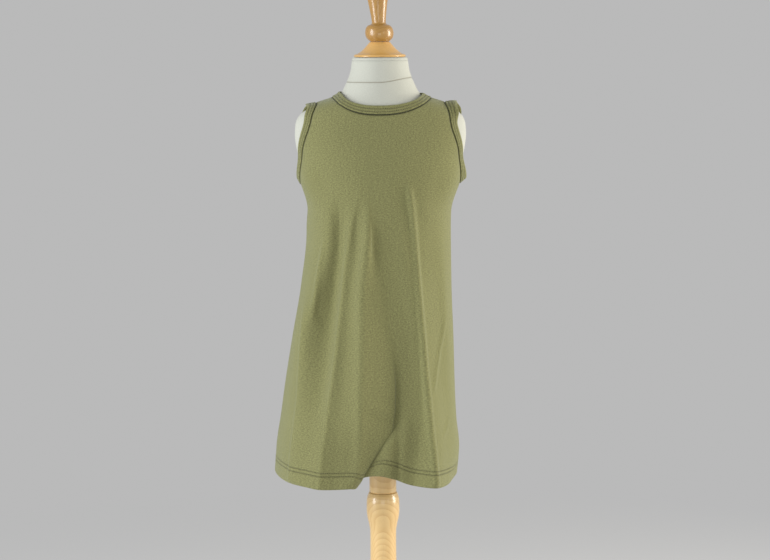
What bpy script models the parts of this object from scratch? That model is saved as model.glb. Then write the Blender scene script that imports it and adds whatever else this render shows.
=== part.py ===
"""Child's sleeveless a-line dress on a limbless dress form with a turned wooden stand.

Metres, +Z up. The dress faces -Y, the stand's centre line is the Z axis and the floor is Z = 0.
Depth means distance forward of that line, so it is -Y. Left and right are the wearer's,
so the wearer's left is +X. Tables are in millimetres, as a pattern cutter writes them.
"""

import math
from collections import namedtuple

import bmesh
import bpy
import numpy as np

MM = 0.001

# Cloth and sewing
CLOTH = 1.5 * MM  # wall of the knit panels
SEAM_GAP = 0.35 * MM  # space between two panels at a seam
BAND_GAP = 0.5 * MM  # space between a panel and a binding, whose facets don't match as well
HEM_LEVEL = 351 * MM  # mean height of the hem's edge
HEM_DEPTH = 23.0 * MM  # height of the turned-up hem
HEM_STEP = 1.5 * MM  # height over which the wall thickens at the top of the hem
HEM_LAYER = 1.2 * MM  # the second layer inside the hem
CLEARANCE = 1.8 * MM  # middle of the cloth to the form that it lies on
NECK_BAND = 13.0 * MM  # width of the neck binding
ARM_BAND = 12.0 * MM  # width of the armhole bindings
BAND_HALF = 1.25 * MM  # half the thickness of a binding
BAND_EDGE = 0.75  # share of its thickness that a binding keeps at its free edge
BAND_RAISE = 0.55 * MM  # a binding's middle above the panel's middle

# Heights of the dress on the form
UNDERARM = 763 * MM
SHOULDER_TIP = 871.5 * MM
NECK_SIDE = 878.6 * MM  # where the neckline meets the shoulder seam
NECK_FRONT = 859 * MM
NECK_BACK = 873.0 * MM
NECK_LEAN = 0.9 * MM  # the neckline's right end is higher than its left by twice this
NECK_CURVE = 2.45  # how flat the neckline is at its middle

# What differs between the wearer's right and left arm: how far the armhole reaches forward and back,
# how square its top is, the cloth's extra distance from the form, and how far the binding stands
# away low down and on top
ArmSide = namedtuple("ArmSide", "reach square ease flare lift")
ARM_SIDES = {-1: ArmSide(33, 0.42, 6.5, 3, 3.5), 1: ArmSide(33.5, 0.28, 5, 7.5, 8)}
ARM_LEAN = 0.33  # how much higher than its middle an armhole is at its widest
ARM_ROUND = 0.18  # how much squarer than an oval an armhole is at the bottom
EASE_HEIGHTS = (722 * MM, UNDERARM, 805 * MM)  # the ease starts, is greatest and ends
EASE_WIDTH = (0.72, 1.0)  # shares of the form's half width between which the ease grows
LIFT_HEIGHTS = (846 * MM, 868 * MM)  # the binding's lift on the shoulder starts and is full
LEAST_ROOM = 0.45 * MM  # the cloth's inner face keeps this far from the form
LIFT_FADE = 0.6  # share of a facet's lift that its neighbours get
SHOULDER_ROOM = 0.8 * MM  # extra distance over the shoulders, where the form turns sharply
ROOM_HEIGHTS = (836 * MM, 862 * MM)
ARM_MIDDLE = 125 * MM  # a place out in the armholes, sideways
NECK_MIDDLE = 890 * MM  # a place up in the neck opening
FORWARD = (0.0, -1.0, 0.0)

# Columns and rows of the panels' walls
UPPER_ROWS = 15
LOWER_STEP = 27 * MM
SHOULDER_SHARE = 0.78  # columns further out than this share of the width end on the shoulder seam
BAND_STEPS = 3
EDGE_PLACES = 160  # places worked out along an edge before they are spaced evenly
SPREAD_STEPS = 120
EDGE_MARGIN = 3.5 * MM  # least space between an armhole's edge and the column beside it
FREE_ROWS = slice(3, -1)  # rows above the underarm that keep that space

# Stand
POST_RADIUS = 19.2 * MM
POST_JOINT = 321 * MM  # where the plain upper post meets the turned one
FORM_BOTTOM = 470 * MM
TURNED_SIDES = 28
FORM_SIDES = 38
FORM_STEP = 18  # millimetres between the form's rings below its shoulders
FORM_SHOULDER = 800

# Edges sharper than these angles, in degrees, stay sharp
CLOTH_SHARP = 35
TURNED_SHARP = 40
FORM_SHARP = 50

# A row is a level section of the form. front and back are its depths, and power is 2 for an oval and
# more for a squarer one.
FormSection = namedtuple("FormSection", "height half_width front back power")
FORM = [
    FormSection(470, 62, 42, 42, 2.0),
    FormSection(473, 75, 55, 56, 2.1),
    FormSection(484, 84, 66, 67, 2.2),
    FormSection(508, 90, 75, 77, 2.2),
    FormSection(550, 93, 79, 81, 2.2),
    FormSection(600, 90, 79, 77, 2.2),
    FormSection(655, 87, 78.5, 71, 2.2),
    FormSection(700, 90, 77.5, 69, 2.2),
    FormSection(735, 95, 78, 71, 2.2),
    FormSection(765, 103.5, 77.5, 74, 2.2),
    FormSection(798, 114, 73, 76, 2.1),
    FormSection(815, 118.2, 69, 75.5, 2.05),
    FormSection(830, 119.7, 64.5, 73.5, 2.0),
    FormSection(843, 119, 60, 71, 2.0),
    FormSection(851, 117, 57.8, 69, 2.0),
    FormSection(858, 112.5, 56, 67.2, 2.0),
    FormSection(864.5, 104, 54.5, 65.2, 2.0),
    FormSection(872, 88, 52.5, 62, 2.0),
    FormSection(879.5, 66, 50, 57, 2.0),
    FormSection(886, 55.5, 47.8, 53, 2.0),
    FormSection(893, 51.5, 45.8, 49.7, 2.0),
    FormSection(901, 47.8, 43.8, 46.4, 2.0),
    FormSection(910, 43.8, 41.6, 43.2, 2.0),
    FormSection(921, 40.7, 39.6, 40.6, 2.0),
    FormSection(931, 39.2, 38.4, 39, 2.0),
    FormSection(935.6, 38.4, 37.7, 38.2, 2.0),
    FormSection(937.3, 36.7, 36, 36.3, 2.0),
]

# Shares of the way down from the underarm to the hem at which the fold tables give a place
STATIONS = (0.0, 0.16, 0.35, 0.53, 0.69, 0.8, 0.9, 1.0)

# A row is a line that runs down the cloth. across is its place sideways and depth its distance from
# the stand's centre line, at each station below the underarm. columns is how many columns of the
# wall lie between it and the next line. hem is the height of the hem's edge on it.
SETTLE_SHARE = 0.22  # by this share of the way down the cloth no longer follows the chest
FoldLine = namedtuple("FoldLine", "name columns hem across depth")
RIGHT_SEAM = (-104, -112.5, -125.5, -136.5, -143, -149.5, -152.5)
LEFT_SEAM = (97.3, 98, 100.5, 102, 104, 108, 104.5)
SEAM_DEPTH = (0, 0, 0, 0, 0, 0, 0)
FRONT_FOLDS = [
    FoldLine("right side seam", 4, 354, RIGHT_SEAM, SEAM_DEPTH),
    FoldLine(
        "side crest", 3, 352,
        (-73, -90, -112, -117, -122, -127, -131),
        (65, 65.5, 67, 70, 73, 76, 79),
    ),
    FoldLine(
        "side valley", 3, 351,
        (-56, -64, -74, -82, -93, -99, -103),
        (65.5, 65, 76, 89, 99, 106, 110),
    ),
    FoldLine(
        "long crest", 3, 350,
        (-43, -52, -61, -70, -77, -84, -88),
        (76, 80, 91, 103, 111, 117, 120),
    ),
    FoldLine(
        "narrow valley", 3, 349.5,
        (-33, -42, -48, -55, -60, -64, -67),
        (77.5, 83, 94, 106, 114, 117.5, 119),
    ),
    FoldLine(
        "centre crest", 3, 350.5,
        (-18, -24, -25, -27, -28, -35, -45),
        (83.5, 92, 104, 115, 119, 118, 119.5),
    ),
    FoldLine("pouch", 3, 350, (-14, -1, 10, 16, 13, -13, -37), (80.8, 84.5, 91.5, 97.5, 103, 112, 112.5)),
    FoldLine(
        "deep valley", 4, 361.5,
        (-8, 5, 15.5, 20, 17, -5, -32),
        (79.8, 82.5, 88.5, 92.5, 98, 108.5, 110),
    ),
    FoldLine("inner flank", 3, 367, (12, 25, 34, 38, 34, 9, -4), (79, 81.5, 87, 93, 99.5, 112.5, 114)),
    FoldLine("outer flank", 3, 352, (32, 43, 50, 53, 52, 47, 41), (77.5, 82.5, 88.5, 96, 102, 105.5, 105)),
    FoldLine("left crest", 3, 350.3, (45, 52, 58, 64, 67.5, 71, 72), (72.5, 79, 87, 98, 105, 112, 117)),
    FoldLine("left valley", 3, 347.5, (68, 75, 80, 85, 88.5, 90.5, 88), (57, 56, 61, 68, 73, 80, 85)),
    FoldLine("left side crest", 3, 346, (85.5, 89, 93.5, 97, 100, 103, 97), (38, 40, 41, 44, 46, 45, 38)),
    FoldLine("left side seam", 0, 348.5, LEFT_SEAM, SEAM_DEPTH),
]
BACK_FOLDS = [
    FoldLine("right side seam", 3, 354, RIGHT_SEAM, SEAM_DEPTH),
    FoldLine(
        "right side crest", 3, 353,
        (-90, -98, -109, -118, -122, -126, -128),
        (41, 49, 58, 65, 69, 73, 75),
    ),
    FoldLine("right valley", 3, 354.5, (-65, -73, -80, -87, -90, -93, -95), (60, 64, 68, 71, 72, 73, 73)),
    FoldLine(
        "right crest", 3, 351,
        (-44, -50, -56, -62, -66, -69, -71),
        (71.5, 81, 93, 104, 110, 115, 119),
    ),
    FoldLine(
        "right middle valley", 3, 353.5,
        (-22, -27, -32, -36, -38, -40, -42),
        (76, 81, 86, 89, 89, 88, 87),
    ),
    FoldLine("middle crest", 3, 350.5, (1, -1, -5, -9, -11, -13, -14), (78, 86, 96, 107, 113, 118, 122)),
    FoldLine(
        "left middle valley", 3, 353.5,
        (22, 22, 21.5, 21, 20.5, 20, 19),
        (76, 81, 86, 90, 90, 89, 88),
    ),
    FoldLine("left crest", 3, 351, (41, 43.5, 47, 51, 53.5, 55, 56), (71.5, 80, 91, 101, 107, 112, 115)),
    FoldLine("left valley", 3, 354.5, (61, 64, 68, 72.5, 75, 77, 78), (59.5, 63, 67, 71, 72, 73, 74)),
    FoldLine(
        "left side crest", 3, 352,
        (79.5, 82.5, 87, 91.5, 94.5, 98, 98),
        (41, 45, 50, 55, 58, 61, 63),
    ),
    FoldLine("left side seam", 0, 348.5, LEFT_SEAM, SEAM_DEPTH),
]

# Radius and height of the turned pieces' outlines, in millimetres
NECK_CAP = [(0, 937.6), (34.5, 937.6), (36.3, 938.6), (36, 940), (30, 943), (24.5, 947), (19.5, 952)]
NECK_CAP += [(15.5, 956.8), (14, 958.4), (0, 958.4)]
FINIAL = [(0, 958.7), (12.6, 958.7), (15.8, 961.2), (18.9, 965.5), (19.8, 971), (18.9, 976.4), (15.6, 981)]
FINIAL += [(10.6, 983.4), (9.7, 985), (10.2, 991), (11.3, 999), (12.8, 1009), (14.6, 1019), (16.3, 1030)]
FINIAL += [(17, 1041), (16.4, 1051), (14.2, 1061), (10.8, 1068.5), (6, 1073.5), (0, 1075)]
TURNED_POST = [(0, 24.3), (30, 24.3), (31.5, 27), (30.5, 31), (26, 34), (21, 39), (19.5, 46), (22.5, 51)]
TURNED_POST += [(24, 56), (22.5, 61), (19, 66), (20.5, 85), (21, 120), (20, 165), (18.8, 205), (18.5, 250)]
TURNED_POST += [(18.6, 264), (20.2, 275), (22.6, 286), (23.5, 295), (23.4, 306), (22.3, 314), (19.9, 320.7)]
TURNED_POST += [(0, 320.7)]
BASE = [(0, 0), (146, 0), (149, 1.5), (150, 5), (150, 13), (148, 17.5), (143, 20), (60, 23.2), (52, 24)]
BASE += [(0, 24)]
FINIAL_LEAN = 0.045  # how far the finial leans to the wearer's right for each unit of its height

COTTON = ("olive_jersey", (0.235, 0.232, 0.098), 0.95)
CANVAS = ("cream_canvas", (0.62, 0.61, 0.52), 0.9)
WOOD = ("clear_lacquered_wood", (0.56, 0.34, 0.13), 0.3)


def clear_scene():
    for obj in list(bpy.data.objects):
        bpy.data.objects.remove(obj)


def unit(vectors):
    """The same directions with a length of one."""
    return vectors / np.maximum(np.linalg.norm(vectors, axis=-1, keepdims=True), 1e-12)


def ramp(value, start, end):
    """0 at start, 1 at end, smooth in between and level beyond."""
    share = np.clip((value - start) / (end - start), 0, 1)
    return share * share * (3 - 2 * share)


def steady_curve(knots, values, first_slope=None):
    """A smooth curve through the values that never swings past them, as a function of the knot value."""
    knots = np.asarray(knots, float)
    values = np.asarray(values, float).reshape(len(knots), -1)
    step = np.diff(knots)[:, None]
    rise = np.diff(values, axis=0) / step
    slope = np.empty_like(values)
    slope[0] = rise[0] if first_slope is None else first_slope
    slope[-1] = rise[-1]
    before = rise[:-1]
    after = rise[1:]
    same_way = before * after > 0
    safe_before = np.where(same_way, before, 1.0)
    safe_after = np.where(same_way, after, 1.0)
    near = 2 * step[1:] + step[:-1]
    far = step[1:] + 2 * step[:-1]
    slope[1:-1] = np.where(same_way, (near + far) / (near / safe_before + far / safe_after), 0.0)

    def at(place):
        place = np.clip(np.atleast_1d(np.asarray(place, float)), knots[0], knots[-1])
        left = np.clip(np.searchsorted(knots, place, side="right") - 1, 0, len(knots) - 2)
        width = step[left]
        t = (place - knots[left])[:, None] / width
        value = values[left] * (2 * t**3 - 3 * t**2 + 1) + values[left + 1] * (3 * t**2 - 2 * t**3)
        return value + width * (slope[left] * (t**3 - 2 * t**2 + t) + slope[left + 1] * (t**3 - t**2))

    return at


def form_outline():
    """Half-width, front depth, back depth and roundness of the form, as a function of height."""
    rows = np.array([list(section) for section in FORM], float)
    sizes = rows[:, 1:].copy()
    sizes[:, :3] *= MM
    return steady_curve(rows[:, 0] * MM, sizes)


FORM_AT = form_outline()


def outsideness(points):
    """Under 1 inside the form, 1 on its surface and over 1 outside, for points given as x, y, z."""
    half_width, front, back, power = FORM_AT(points[:, 2]).T
    depth = np.where(points[:, 1] < 0, front, back)
    sideways = np.abs(points[:, 0]) / half_width
    return sideways**power + (np.abs(points[:, 1]) / depth) ** power


def form_slopes(points):
    """How fast outsideness grows along x, y and z at these points."""
    small = 0.05 * MM
    slopes = np.empty_like(points)
    for axis in range(3):
        step = np.zeros(3)
        step[axis] = small
        slopes[:, axis] = (outsideness(points + step) - outsideness(points - step)) / (2 * small)
    return slopes


def form_normals(points):
    """The form's outward direction at points on its surface."""
    return unit(form_slopes(points))


def resting_normals(points):
    """The form's outward direction at the places on it nearest to these points."""
    return form_normals(onto_form(points, np.zeros(len(points))))


def onto_form(points, distance, steps=12):
    """Each point moved to the nearest place on the form, then out by distance."""
    surface = points.copy()
    for _ in range(steps):
        slopes = form_slopes(surface)
        steep = np.maximum(np.sum(slopes * slopes, axis=1), 1.0)
        surface = surface - slopes * ((outsideness(surface) - 1) / steep)[:, None]
    return surface + form_normals(surface) * np.reshape(distance, (-1, 1))


def lifted(grid, room, closed=False):
    """The same grid, moved out wherever a facet's edge would pass nearer to the form than room."""
    for _ in range(3):
        following = np.roll(grid, -1, axis=0) if closed else grid[1:]
        rows = len(following)
        corners = (grid[:rows, :-1], grid[:rows, 1:], following[:, 1:], following[:, :-1])
        push = np.zeros(grid.shape[:2])
        spots = ((slice(0, -1), 0), (slice(1, None), 0), (slice(1, None), 1), (slice(0, -1), 1))
        for first, second in ((0, 1), (0, 2), (0, 3), (1, 3), (2, 3), (1, 2)):
            middles = ((corners[first] + corners[second]) / 2).reshape(-1, 3)
            distance = (outsideness(middles) - 1) / np.linalg.norm(form_slopes(middles), axis=1)
            short = np.maximum(room - distance, 0).reshape(rows, -1)
            for corner in (first, second):
                columns, down = spots[corner]
                lines = (np.arange(rows) + down) % len(grid)
                push[lines, columns] = np.maximum(push[lines, columns], short)
        for axis in (0, 1):
            for _ in range(2):
                ahead = np.roll(push, 1, axis) * LIFT_FADE
                behind = np.roll(push, -1, axis) * LIFT_FADE
                push = np.maximum(push, np.maximum(ahead, behind))
        flat = grid.reshape(-1, 3)
        grid = (flat + form_normals(flat) * push.reshape(-1, 1)).reshape(grid.shape)
    return grid


def of_arm(points, field):
    """A size of the nearer arm's ArmSide, in metres, for each point."""
    right = getattr(ARM_SIDES[-1], field)
    left = getattr(ARM_SIDES[1], field)
    return np.where(points[:, 0] < 0, right, left) * MM


def underarm_weight(points):
    """1 at the underarm and 0 away from it."""
    half_width = FORM_AT(points[:, 2])[:, 0]
    outwards = ramp(np.abs(points[:, 0]) / half_width, *EASE_WIDTH)
    start, middle, end = EASE_HEIGHTS
    return outwards * ramp(points[:, 2], start, middle) * ramp(points[:, 2], end, middle)


def cloth_distance(points):
    """How far the middle of the cloth lies from the form near these points."""
    room = CLEARANCE + SHOULDER_ROOM * ramp(points[:, 2], *ROOM_HEIGHTS)
    return room + of_arm(points, "ease") * underarm_weight(points)


def dressed(points, steps=12):
    """The middle of the cloth over the chest and shoulders, near these points."""
    return onto_form(points, cloth_distance(points), steps)


def form_depth(sideways, height, forward):
    """Depth of the form's surface at a place sideways and a height, in front or behind."""
    half_width, front, back, power = FORM_AT(height).T
    reach = front if forward else back
    share = np.clip(np.abs(sideways) / half_width, 0, 1)
    return reach * (1 - share**power) ** (1 / power)


def armhole(turn, side, forward):
    """The seam round an armhole: turn runs from 0 at the underarm to pi at the shoulder."""
    middle = (UNDERARM + SHOULDER_TIP) / 2
    height = middle - (SHOULDER_TIP - UNDERARM) / 2 * np.cos(turn)
    square = ARM_ROUND + (ARM_SIDES[side].square - ARM_ROUND) * ramp(-np.cos(turn), -0.5, 0.6)
    roundness = np.maximum(np.sin(turn), 0) ** (1 - square)
    depth = ARM_SIDES[side].reach * MM * (1 - ARM_LEAN * np.cos(turn)) * roundness
    half_width, front, back, power = FORM_AT(height).T
    reach = front if forward else back
    out = half_width * (1 - np.clip(depth / reach, 0, 1) ** power) ** (1 / power)
    facing = -1 if forward else 1
    return dressed(np.stack([side * out, facing * depth, height], axis=1))


def evenly(points, count):
    """Places at equal steps along a line of points."""
    run = np.concatenate([[0], np.cumsum(np.linalg.norm(np.diff(points, axis=0), axis=1))])
    steps = np.linspace(0, run[-1], count)
    return np.stack([np.interp(steps, run, points[:, axis]) for axis in range(3)], axis=1)


def neckline(turn, forward):
    """The neck seam: turn runs from 0 at the wearer's right shoulder to pi at the left one."""
    low = NECK_FRONT if forward else NECK_BACK
    side = NECK_SIDE + NECK_LEAN * np.cos(turn)
    sideways = -FORM_AT(side)[:, 0] * np.cos(turn)
    height = low + (side - low) * np.abs(np.cos(turn)) ** NECK_CURVE
    depth = form_depth(sideways, height, forward)
    facing = -1 if forward else 1
    return dressed(np.stack([sideways, facing * depth, height], axis=1))


def chest_points(folds, facing, height):
    """Where the fold lines cross the chest at a height: the middle of cloth without ease."""
    waist = np.array([line.across[0] for line in folds]) * MM
    widest = np.where(waist < 0, -waist[0], waist[-1])
    heights = np.full(len(waist), height)
    sideways = waist / widest * FORM_AT(height)[0, 0]
    depth = form_depth(sideways, heights, facing < 0)
    return onto_form(np.stack([sideways, facing * depth, heights], axis=1), CLEARANCE)


def along_lines(folds, facing):
    """Place of every fold line, as a function of the share of the way from underarm to hem."""
    small = 2 * MM
    top = chest_points(folds, facing, UNDERARM)
    below = chest_points(folds, facing, UNDERARM - small)
    hems = np.array([line.hem for line in folds]) * MM
    leaving = (below - top) * (UNDERARM - hems[:, None]) / small
    places = []
    for number, line in enumerate(folds):
        stops = [top[number]]
        for station, across, depth in zip(STATIONS[1:], line.across, line.depth):
            height = UNDERARM + (hems[number] - UNDERARM) * station
            stops.append([across * MM, facing * depth * MM, height])
        places.append(stops)
    table = np.transpose(np.array(places), (1, 0, 2)).reshape(len(STATIONS), -1)
    curve = steady_curve(STATIONS, table, leaving.reshape(-1))
    return lambda share: curve(share).reshape(-1, 3)


def eased(points):
    """The same points of the skirt, moved out where the cloth stands away under an arm."""
    out = form_normals(points)
    return points + out * (of_arm(points, "ease") * underarm_weight(points))[:, None]


def across_lines(points, folds, facing):
    """One row of the wall: a smooth curve through the fold lines' points, straight on at both side seams."""
    chord = np.sqrt(np.linalg.norm(np.diff(points, axis=0), axis=1))[:, None]
    run = np.diff(points, axis=0) / chord
    slope = np.empty_like(points)
    slope[1:-1] = (run[:-1] * chord[1:] + run[1:] * chord[:-1]) / (chord[1:] + chord[:-1])
    straight_on = np.array([0.0, facing, 0.0])
    slope[0] = straight_on * np.linalg.norm(run[0])
    slope[-1] = -straight_on * np.linalg.norm(run[-1])
    row = []
    for number, line in enumerate(folds[:-1]):
        for t in np.arange(line.columns) / line.columns:
            start = points[number] * (2 * t**3 - 3 * t**2 + 1) + points[number + 1] * (3 * t**2 - 2 * t**3)
            bend = slope[number] * (t**3 - 2 * t**2 + t) + slope[number + 1] * (t**3 - t**2)
            row.append(start + chord[number] * bend)
    row.append(points[-1])
    return np.array(row)


def clear_of_form(points):
    """The same points, pushed level away from the form where they lie closer than the cloth may."""
    half_width, front, back, power = FORM_AT(points[:, 2]).T
    depth = np.where(points[:, 1] < 0, front, back)
    level = (np.abs(points[:, 0]) / (half_width + CLEARANCE)) ** power
    level += (np.abs(points[:, 1]) / (depth + CLEARANCE)) ** power
    beside = points[:, 2] > FORM_BOTTOM - CLEARANCE
    push = np.where(beside, np.maximum(1, level ** (-1 / power)), 1)
    moved = points.copy()
    moved[:, :2] *= push[:, None]
    return moved


def row_shares():
    """Shares of the way from underarm to hem for the skirt's rows, with one each side of the hem's top."""
    length = UNDERARM - HEM_LEVEL
    above_hem = length - HEM_DEPTH - HEM_STEP
    count = round(above_hem / LOWER_STEP)
    rows = [above_hem / length * number / count for number in range(count + 1)]
    rows.append(1 - HEM_DEPTH / length)
    rows.append(1 - HEM_DEPTH / length / 2)
    rows.append(1.0)
    return rows


def keep_inside(grid, edge, beside, inwards):
    """Moves the column beside an armhole's edge inwards wherever it is too near to it."""
    space = (grid[FREE_ROWS, beside] - grid[FREE_ROWS, edge]) * inwards[FREE_ROWS]
    short = np.maximum(EDGE_MARGIN - np.sum(space, axis=1), 0)
    grid[FREE_ROWS, beside] += inwards[FREE_ROWS] * short[:, None]


def spread(grid):
    """The same grid with its inner points spread evenly between its edges, over the form."""
    grid = grid.copy()
    sides = []
    for edge, beside in ((0, 1), (-1, -2)):
        line = grid[:, edge]
        inwards = unit(np.cross(resting_normals(line), np.gradient(line, axis=0)))
        middle = grid[:, grid.shape[1] // 2]
        towards = np.sum(inwards * (middle - line))
        sides.append((edge, beside, inwards * np.sign(towards)))
    for _ in range(SPREAD_STEPS):
        inner = (grid[:-2, 1:-1] + grid[2:, 1:-1] + grid[1:-1, :-2] + grid[1:-1, 2:]) / 4
        grid[1:-1, 1:-1] = dressed(inner.reshape(-1, 3), steps=2).reshape(inner.shape)
        for edge, beside, inwards in sides:
            keep_inside(grid, edge, beside, inwards)
    return grid


def upper_rows(bottom, facing):
    """Rows from the underarm up to the shoulder seams and neckline, lying on the form."""
    forward = facing < 0
    count = len(bottom)
    sideways = bottom[:, 0]
    width = np.where(sideways < 0, -sideways[0], sideways[-1])
    share = sideways / width
    right_corner = int(np.argmin(np.abs(share + SHOULDER_SHARE)))
    left_corner = int(np.argmin(np.abs(share - SHOULDER_SHARE)))
    tips = [armhole(np.array([math.pi]), side, forward)[0] for side in (-1, 1)]
    top = np.empty_like(bottom)
    dense = np.linspace(0, math.pi, EDGE_PLACES)
    top[right_corner : left_corner + 1] = evenly(neckline(dense, forward), left_corner - right_corner + 1)
    for corner, end, tip in ((right_corner, 0, tips[0]), (left_corner, count - 1, tips[1])):
        way = (share[min(corner, end) : max(corner, end) + 1] - share[corner]) / (share[end] - share[corner])
        seam = top[corner] + (tip - top[corner]) * way[:, None]
        top[min(corner, end) : max(corner, end) + 1] = dressed(seam)
    turns = (1 - np.cos(dense)) * math.pi / 2
    edges = [evenly(armhole(turns, side, forward), UPPER_ROWS + 1) for side in (-1, 1)]
    edges[0][0] = bottom[0]
    edges[1][0] = bottom[-1]
    edges[0][-1] = top[0]
    edges[1][-1] = top[-1]
    across = np.linspace(0, 1, count)[:, None]
    rows = [bottom]
    for number in range(1, UPPER_ROWS + 1):
        up = number / UPPER_ROWS
        between = bottom * (1 - up) + top * up
        ends = edges[0][number] * (1 - across) + edges[1][number] * across
        corners = (bottom[0] * (1 - up) + top[0] * up) * (1 - across)
        corners = corners + (bottom[-1] * (1 - up) + top[-1] * up) * across
        row = dressed(between + ends - corners)
        row[0] = edges[0][number]
        row[-1] = edges[1][number]
        rows.append(row)
    rows[-1] = top
    grid = lifted(spread(np.array(rows)), CLOTH / 2 + LEAST_ROOM)
    return grid[1:], right_corner, left_corner


def panel_grid(folds, facing):
    """Middle of a panel's wall as rows from hem to shoulder, and the columns where the neckline ends."""
    place = along_lines(folds, facing)
    start = across_lines(place(0), folds, facing)
    settle = onto_form(start, CLEARANCE) - start
    skirt = []
    for share in row_shares():
        row = across_lines(place(share), folds, facing) + settle * (1 - ramp(share, 0, SETTLE_SHARE))
        skirt.append(eased(clear_of_form(row)))
    above, right_corner, left_corner = upper_rows(skirt[0], facing)
    rows = np.concatenate([skirt[::-1], above])
    return rows, right_corner, left_corner


def grid_normals(grid, facing):
    """Outward direction at every point of a panel: the form's own where the cloth lies on it."""
    along = np.gradient(grid, axis=1)
    up = np.gradient(grid, axis=0)
    normals = unit(np.cross(along, up)) * -facing
    chest = grid[-UPPER_ROWS:]
    normals[-UPPER_ROWS:] = resting_normals(chest.reshape(-1, 3)).reshape(chest.shape)
    return normals


def share_seam(front, back, front_normals, back_normals, where):
    """Puts two panels' edges a seam's gap apart, with one direction of thickness for both."""
    middle = (front[where] + back[where]) / 2
    normal = unit(front_normals[where] + back_normals[where])
    edge = unit(np.gradient(middle, axis=0))
    aside = unit(np.cross(edge, normal))
    towards_front = np.sign(np.sum(aside * np.array(FORWARD), axis=1))[:, None]
    aside = aside * np.where(towards_front == 0, 1, towards_front)
    front[where] = middle + aside * SEAM_GAP / 2
    back[where] = middle - aside * SEAM_GAP / 2
    front_normals[where] = normal
    back_normals[where] = normal


def object_from(name, verts, faces, material, sharp=CLOTH_SHARP):
    """A mesh object with smooth faces, except across edges sharper than the angle."""
    mesh = bpy.data.meshes.new(name)
    mesh.from_pydata([tuple(vert) for vert in verts], [], faces)
    mesh.update()
    mesh.materials.append(material)
    mesh.shade_smooth()
    mesh.set_sharp_from_angle(angle=math.radians(sharp))
    obj = bpy.data.objects.new(name, mesh)
    bpy.context.scene.collection.objects.link(obj)
    return obj


def facing_out(verts, faces):
    """The faces of a closed body, all turned over if they face inwards."""
    corners = np.array([[verts[index] for index in face[:3]] for face in faces])
    others = np.array([[verts[face[0]], verts[face[2]], verts[face[-1]]] for face in faces])
    volume = np.linalg.det(corners).sum() + np.linalg.det(others).sum()
    return faces if volume > 0 else [face[::-1] for face in faces]


def wall(name, middle, normals, outer, inner, material, closed=False):
    """A closed wall round a grid: rows by columns, with its thickness given outwards and inwards."""
    rows, columns = middle.shape[:2]
    outside = middle + normals * outer[..., None]
    inside = middle - normals * inner[..., None]
    verts = np.concatenate([outside.reshape(-1, 3), inside.reshape(-1, 3)])
    below = rows * columns
    faces = []
    last = rows if closed else rows - 1
    for row in range(last):
        following = (row + 1) % rows
        for column in range(columns - 1):
            a = row * columns + column
            b = a + 1
            c = following * columns + column + 1
            d = c - 1
            faces.append((a, b, c, d))
            faces.append((below + d, below + c, below + b, below + a))
        for column in (0, columns - 1):
            a = row * columns + column
            d = following * columns + column
            rim = (a, d, below + d, below + a)
            faces.append(rim if column == 0 else rim[::-1])
    if not closed:
        for row in (0, rows - 1):
            for column in range(columns - 1):
                a = row * columns + column
                rim = (a, below + a, below + a + 1, a + 1)
                faces.append(rim if row == 0 else rim[::-1])
    return object_from(name, verts, facing_out(verts, faces), material)


def panel(name, grid, normals, material):
    """A dress panel with its hem turned up inside."""
    outer = np.full(grid.shape[:2], CLOTH / 2)
    inner = np.full(grid.shape[:2], CLOTH / 2)
    inner[:3] += HEM_LAYER
    return wall(name, grid, normals, outer, inner, material)


def binding(name, edge, normals, away, width, material, arm=False):
    """A band round an opening: it starts a small gap from the panels' edge and follows the form."""
    count = len(edge)
    step = (width - BAND_GAP) / BAND_STEPS
    start = edge + unit(away) * BAND_GAP + normals * BAND_RAISE
    columns = [start]
    heading = unit(away)
    place = edge + heading * BAND_GAP
    for number in range(1, BAND_STEPS + 1):
        ahead = place + heading * step
        distance = cloth_distance(ahead) + BAND_RAISE
        if arm:
            distance = distance + stands_away(ahead) * number / BAND_STEPS
        settled = onto_form(ahead, distance)
        heading = unit(settled - columns[-1])
        place = settled
        columns.append(settled)
    grid = np.stack(columns, axis=1)
    grid[:, 1:] = lifted(grid, BAND_HALF + LEAST_ROOM, closed=True)[:, 1:]
    along = np.roll(grid, -1, axis=0) - np.roll(grid, 1, axis=0)
    across = np.gradient(grid, axis=1)
    out = unit(np.cross(across, along))
    if np.sum(out[:, 0] * normals) < 0:
        out = -out
    out[:, 0] = normals
    half = np.full((count, BAND_STEPS + 1), BAND_HALF)
    half[:, -1] = BAND_HALF * BAND_EDGE
    return wall(name, grid, out, half, half, material, closed=True)


def stands_away(points):
    """How far an armhole binding's free edge stands away from the form, under the arm and on the shoulder."""
    low = of_arm(points, "flare") * underarm_weight(points)
    return low + of_arm(points, "lift") * ramp(points[:, 2], *LIFT_HEIGHTS)


def round_neck(front, back, front_normals, back_normals, corners):
    """The neck opening's edge as a closed loop: along the front from right to left, then the back."""
    (front_right, front_left), (back_right, back_left) = corners
    ahead = front[-1, front_right : front_left + 1]
    behind = back[-1, back_right + 1 : back_left][::-1]
    ahead_normals = front_normals[-1, front_right : front_left + 1]
    behind_normals = back_normals[-1, back_right + 1 : back_left][::-1]
    return np.concatenate([ahead, behind]), np.concatenate([ahead_normals, behind_normals])


def round_arm(front, back, front_normals, back_normals, column):
    """An armhole's edge as a closed loop: up the front from the underarm, then down the back."""
    ahead = front[-UPPER_ROWS - 1 :, column]
    behind = back[-UPPER_ROWS:-1, column][::-1]
    ahead_normals = front_normals[-UPPER_ROWS - 1 :, column]
    behind_normals = back_normals[-UPPER_ROWS:-1, column][::-1]
    return np.concatenate([ahead, behind]), np.concatenate([ahead_normals, behind_normals])


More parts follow.
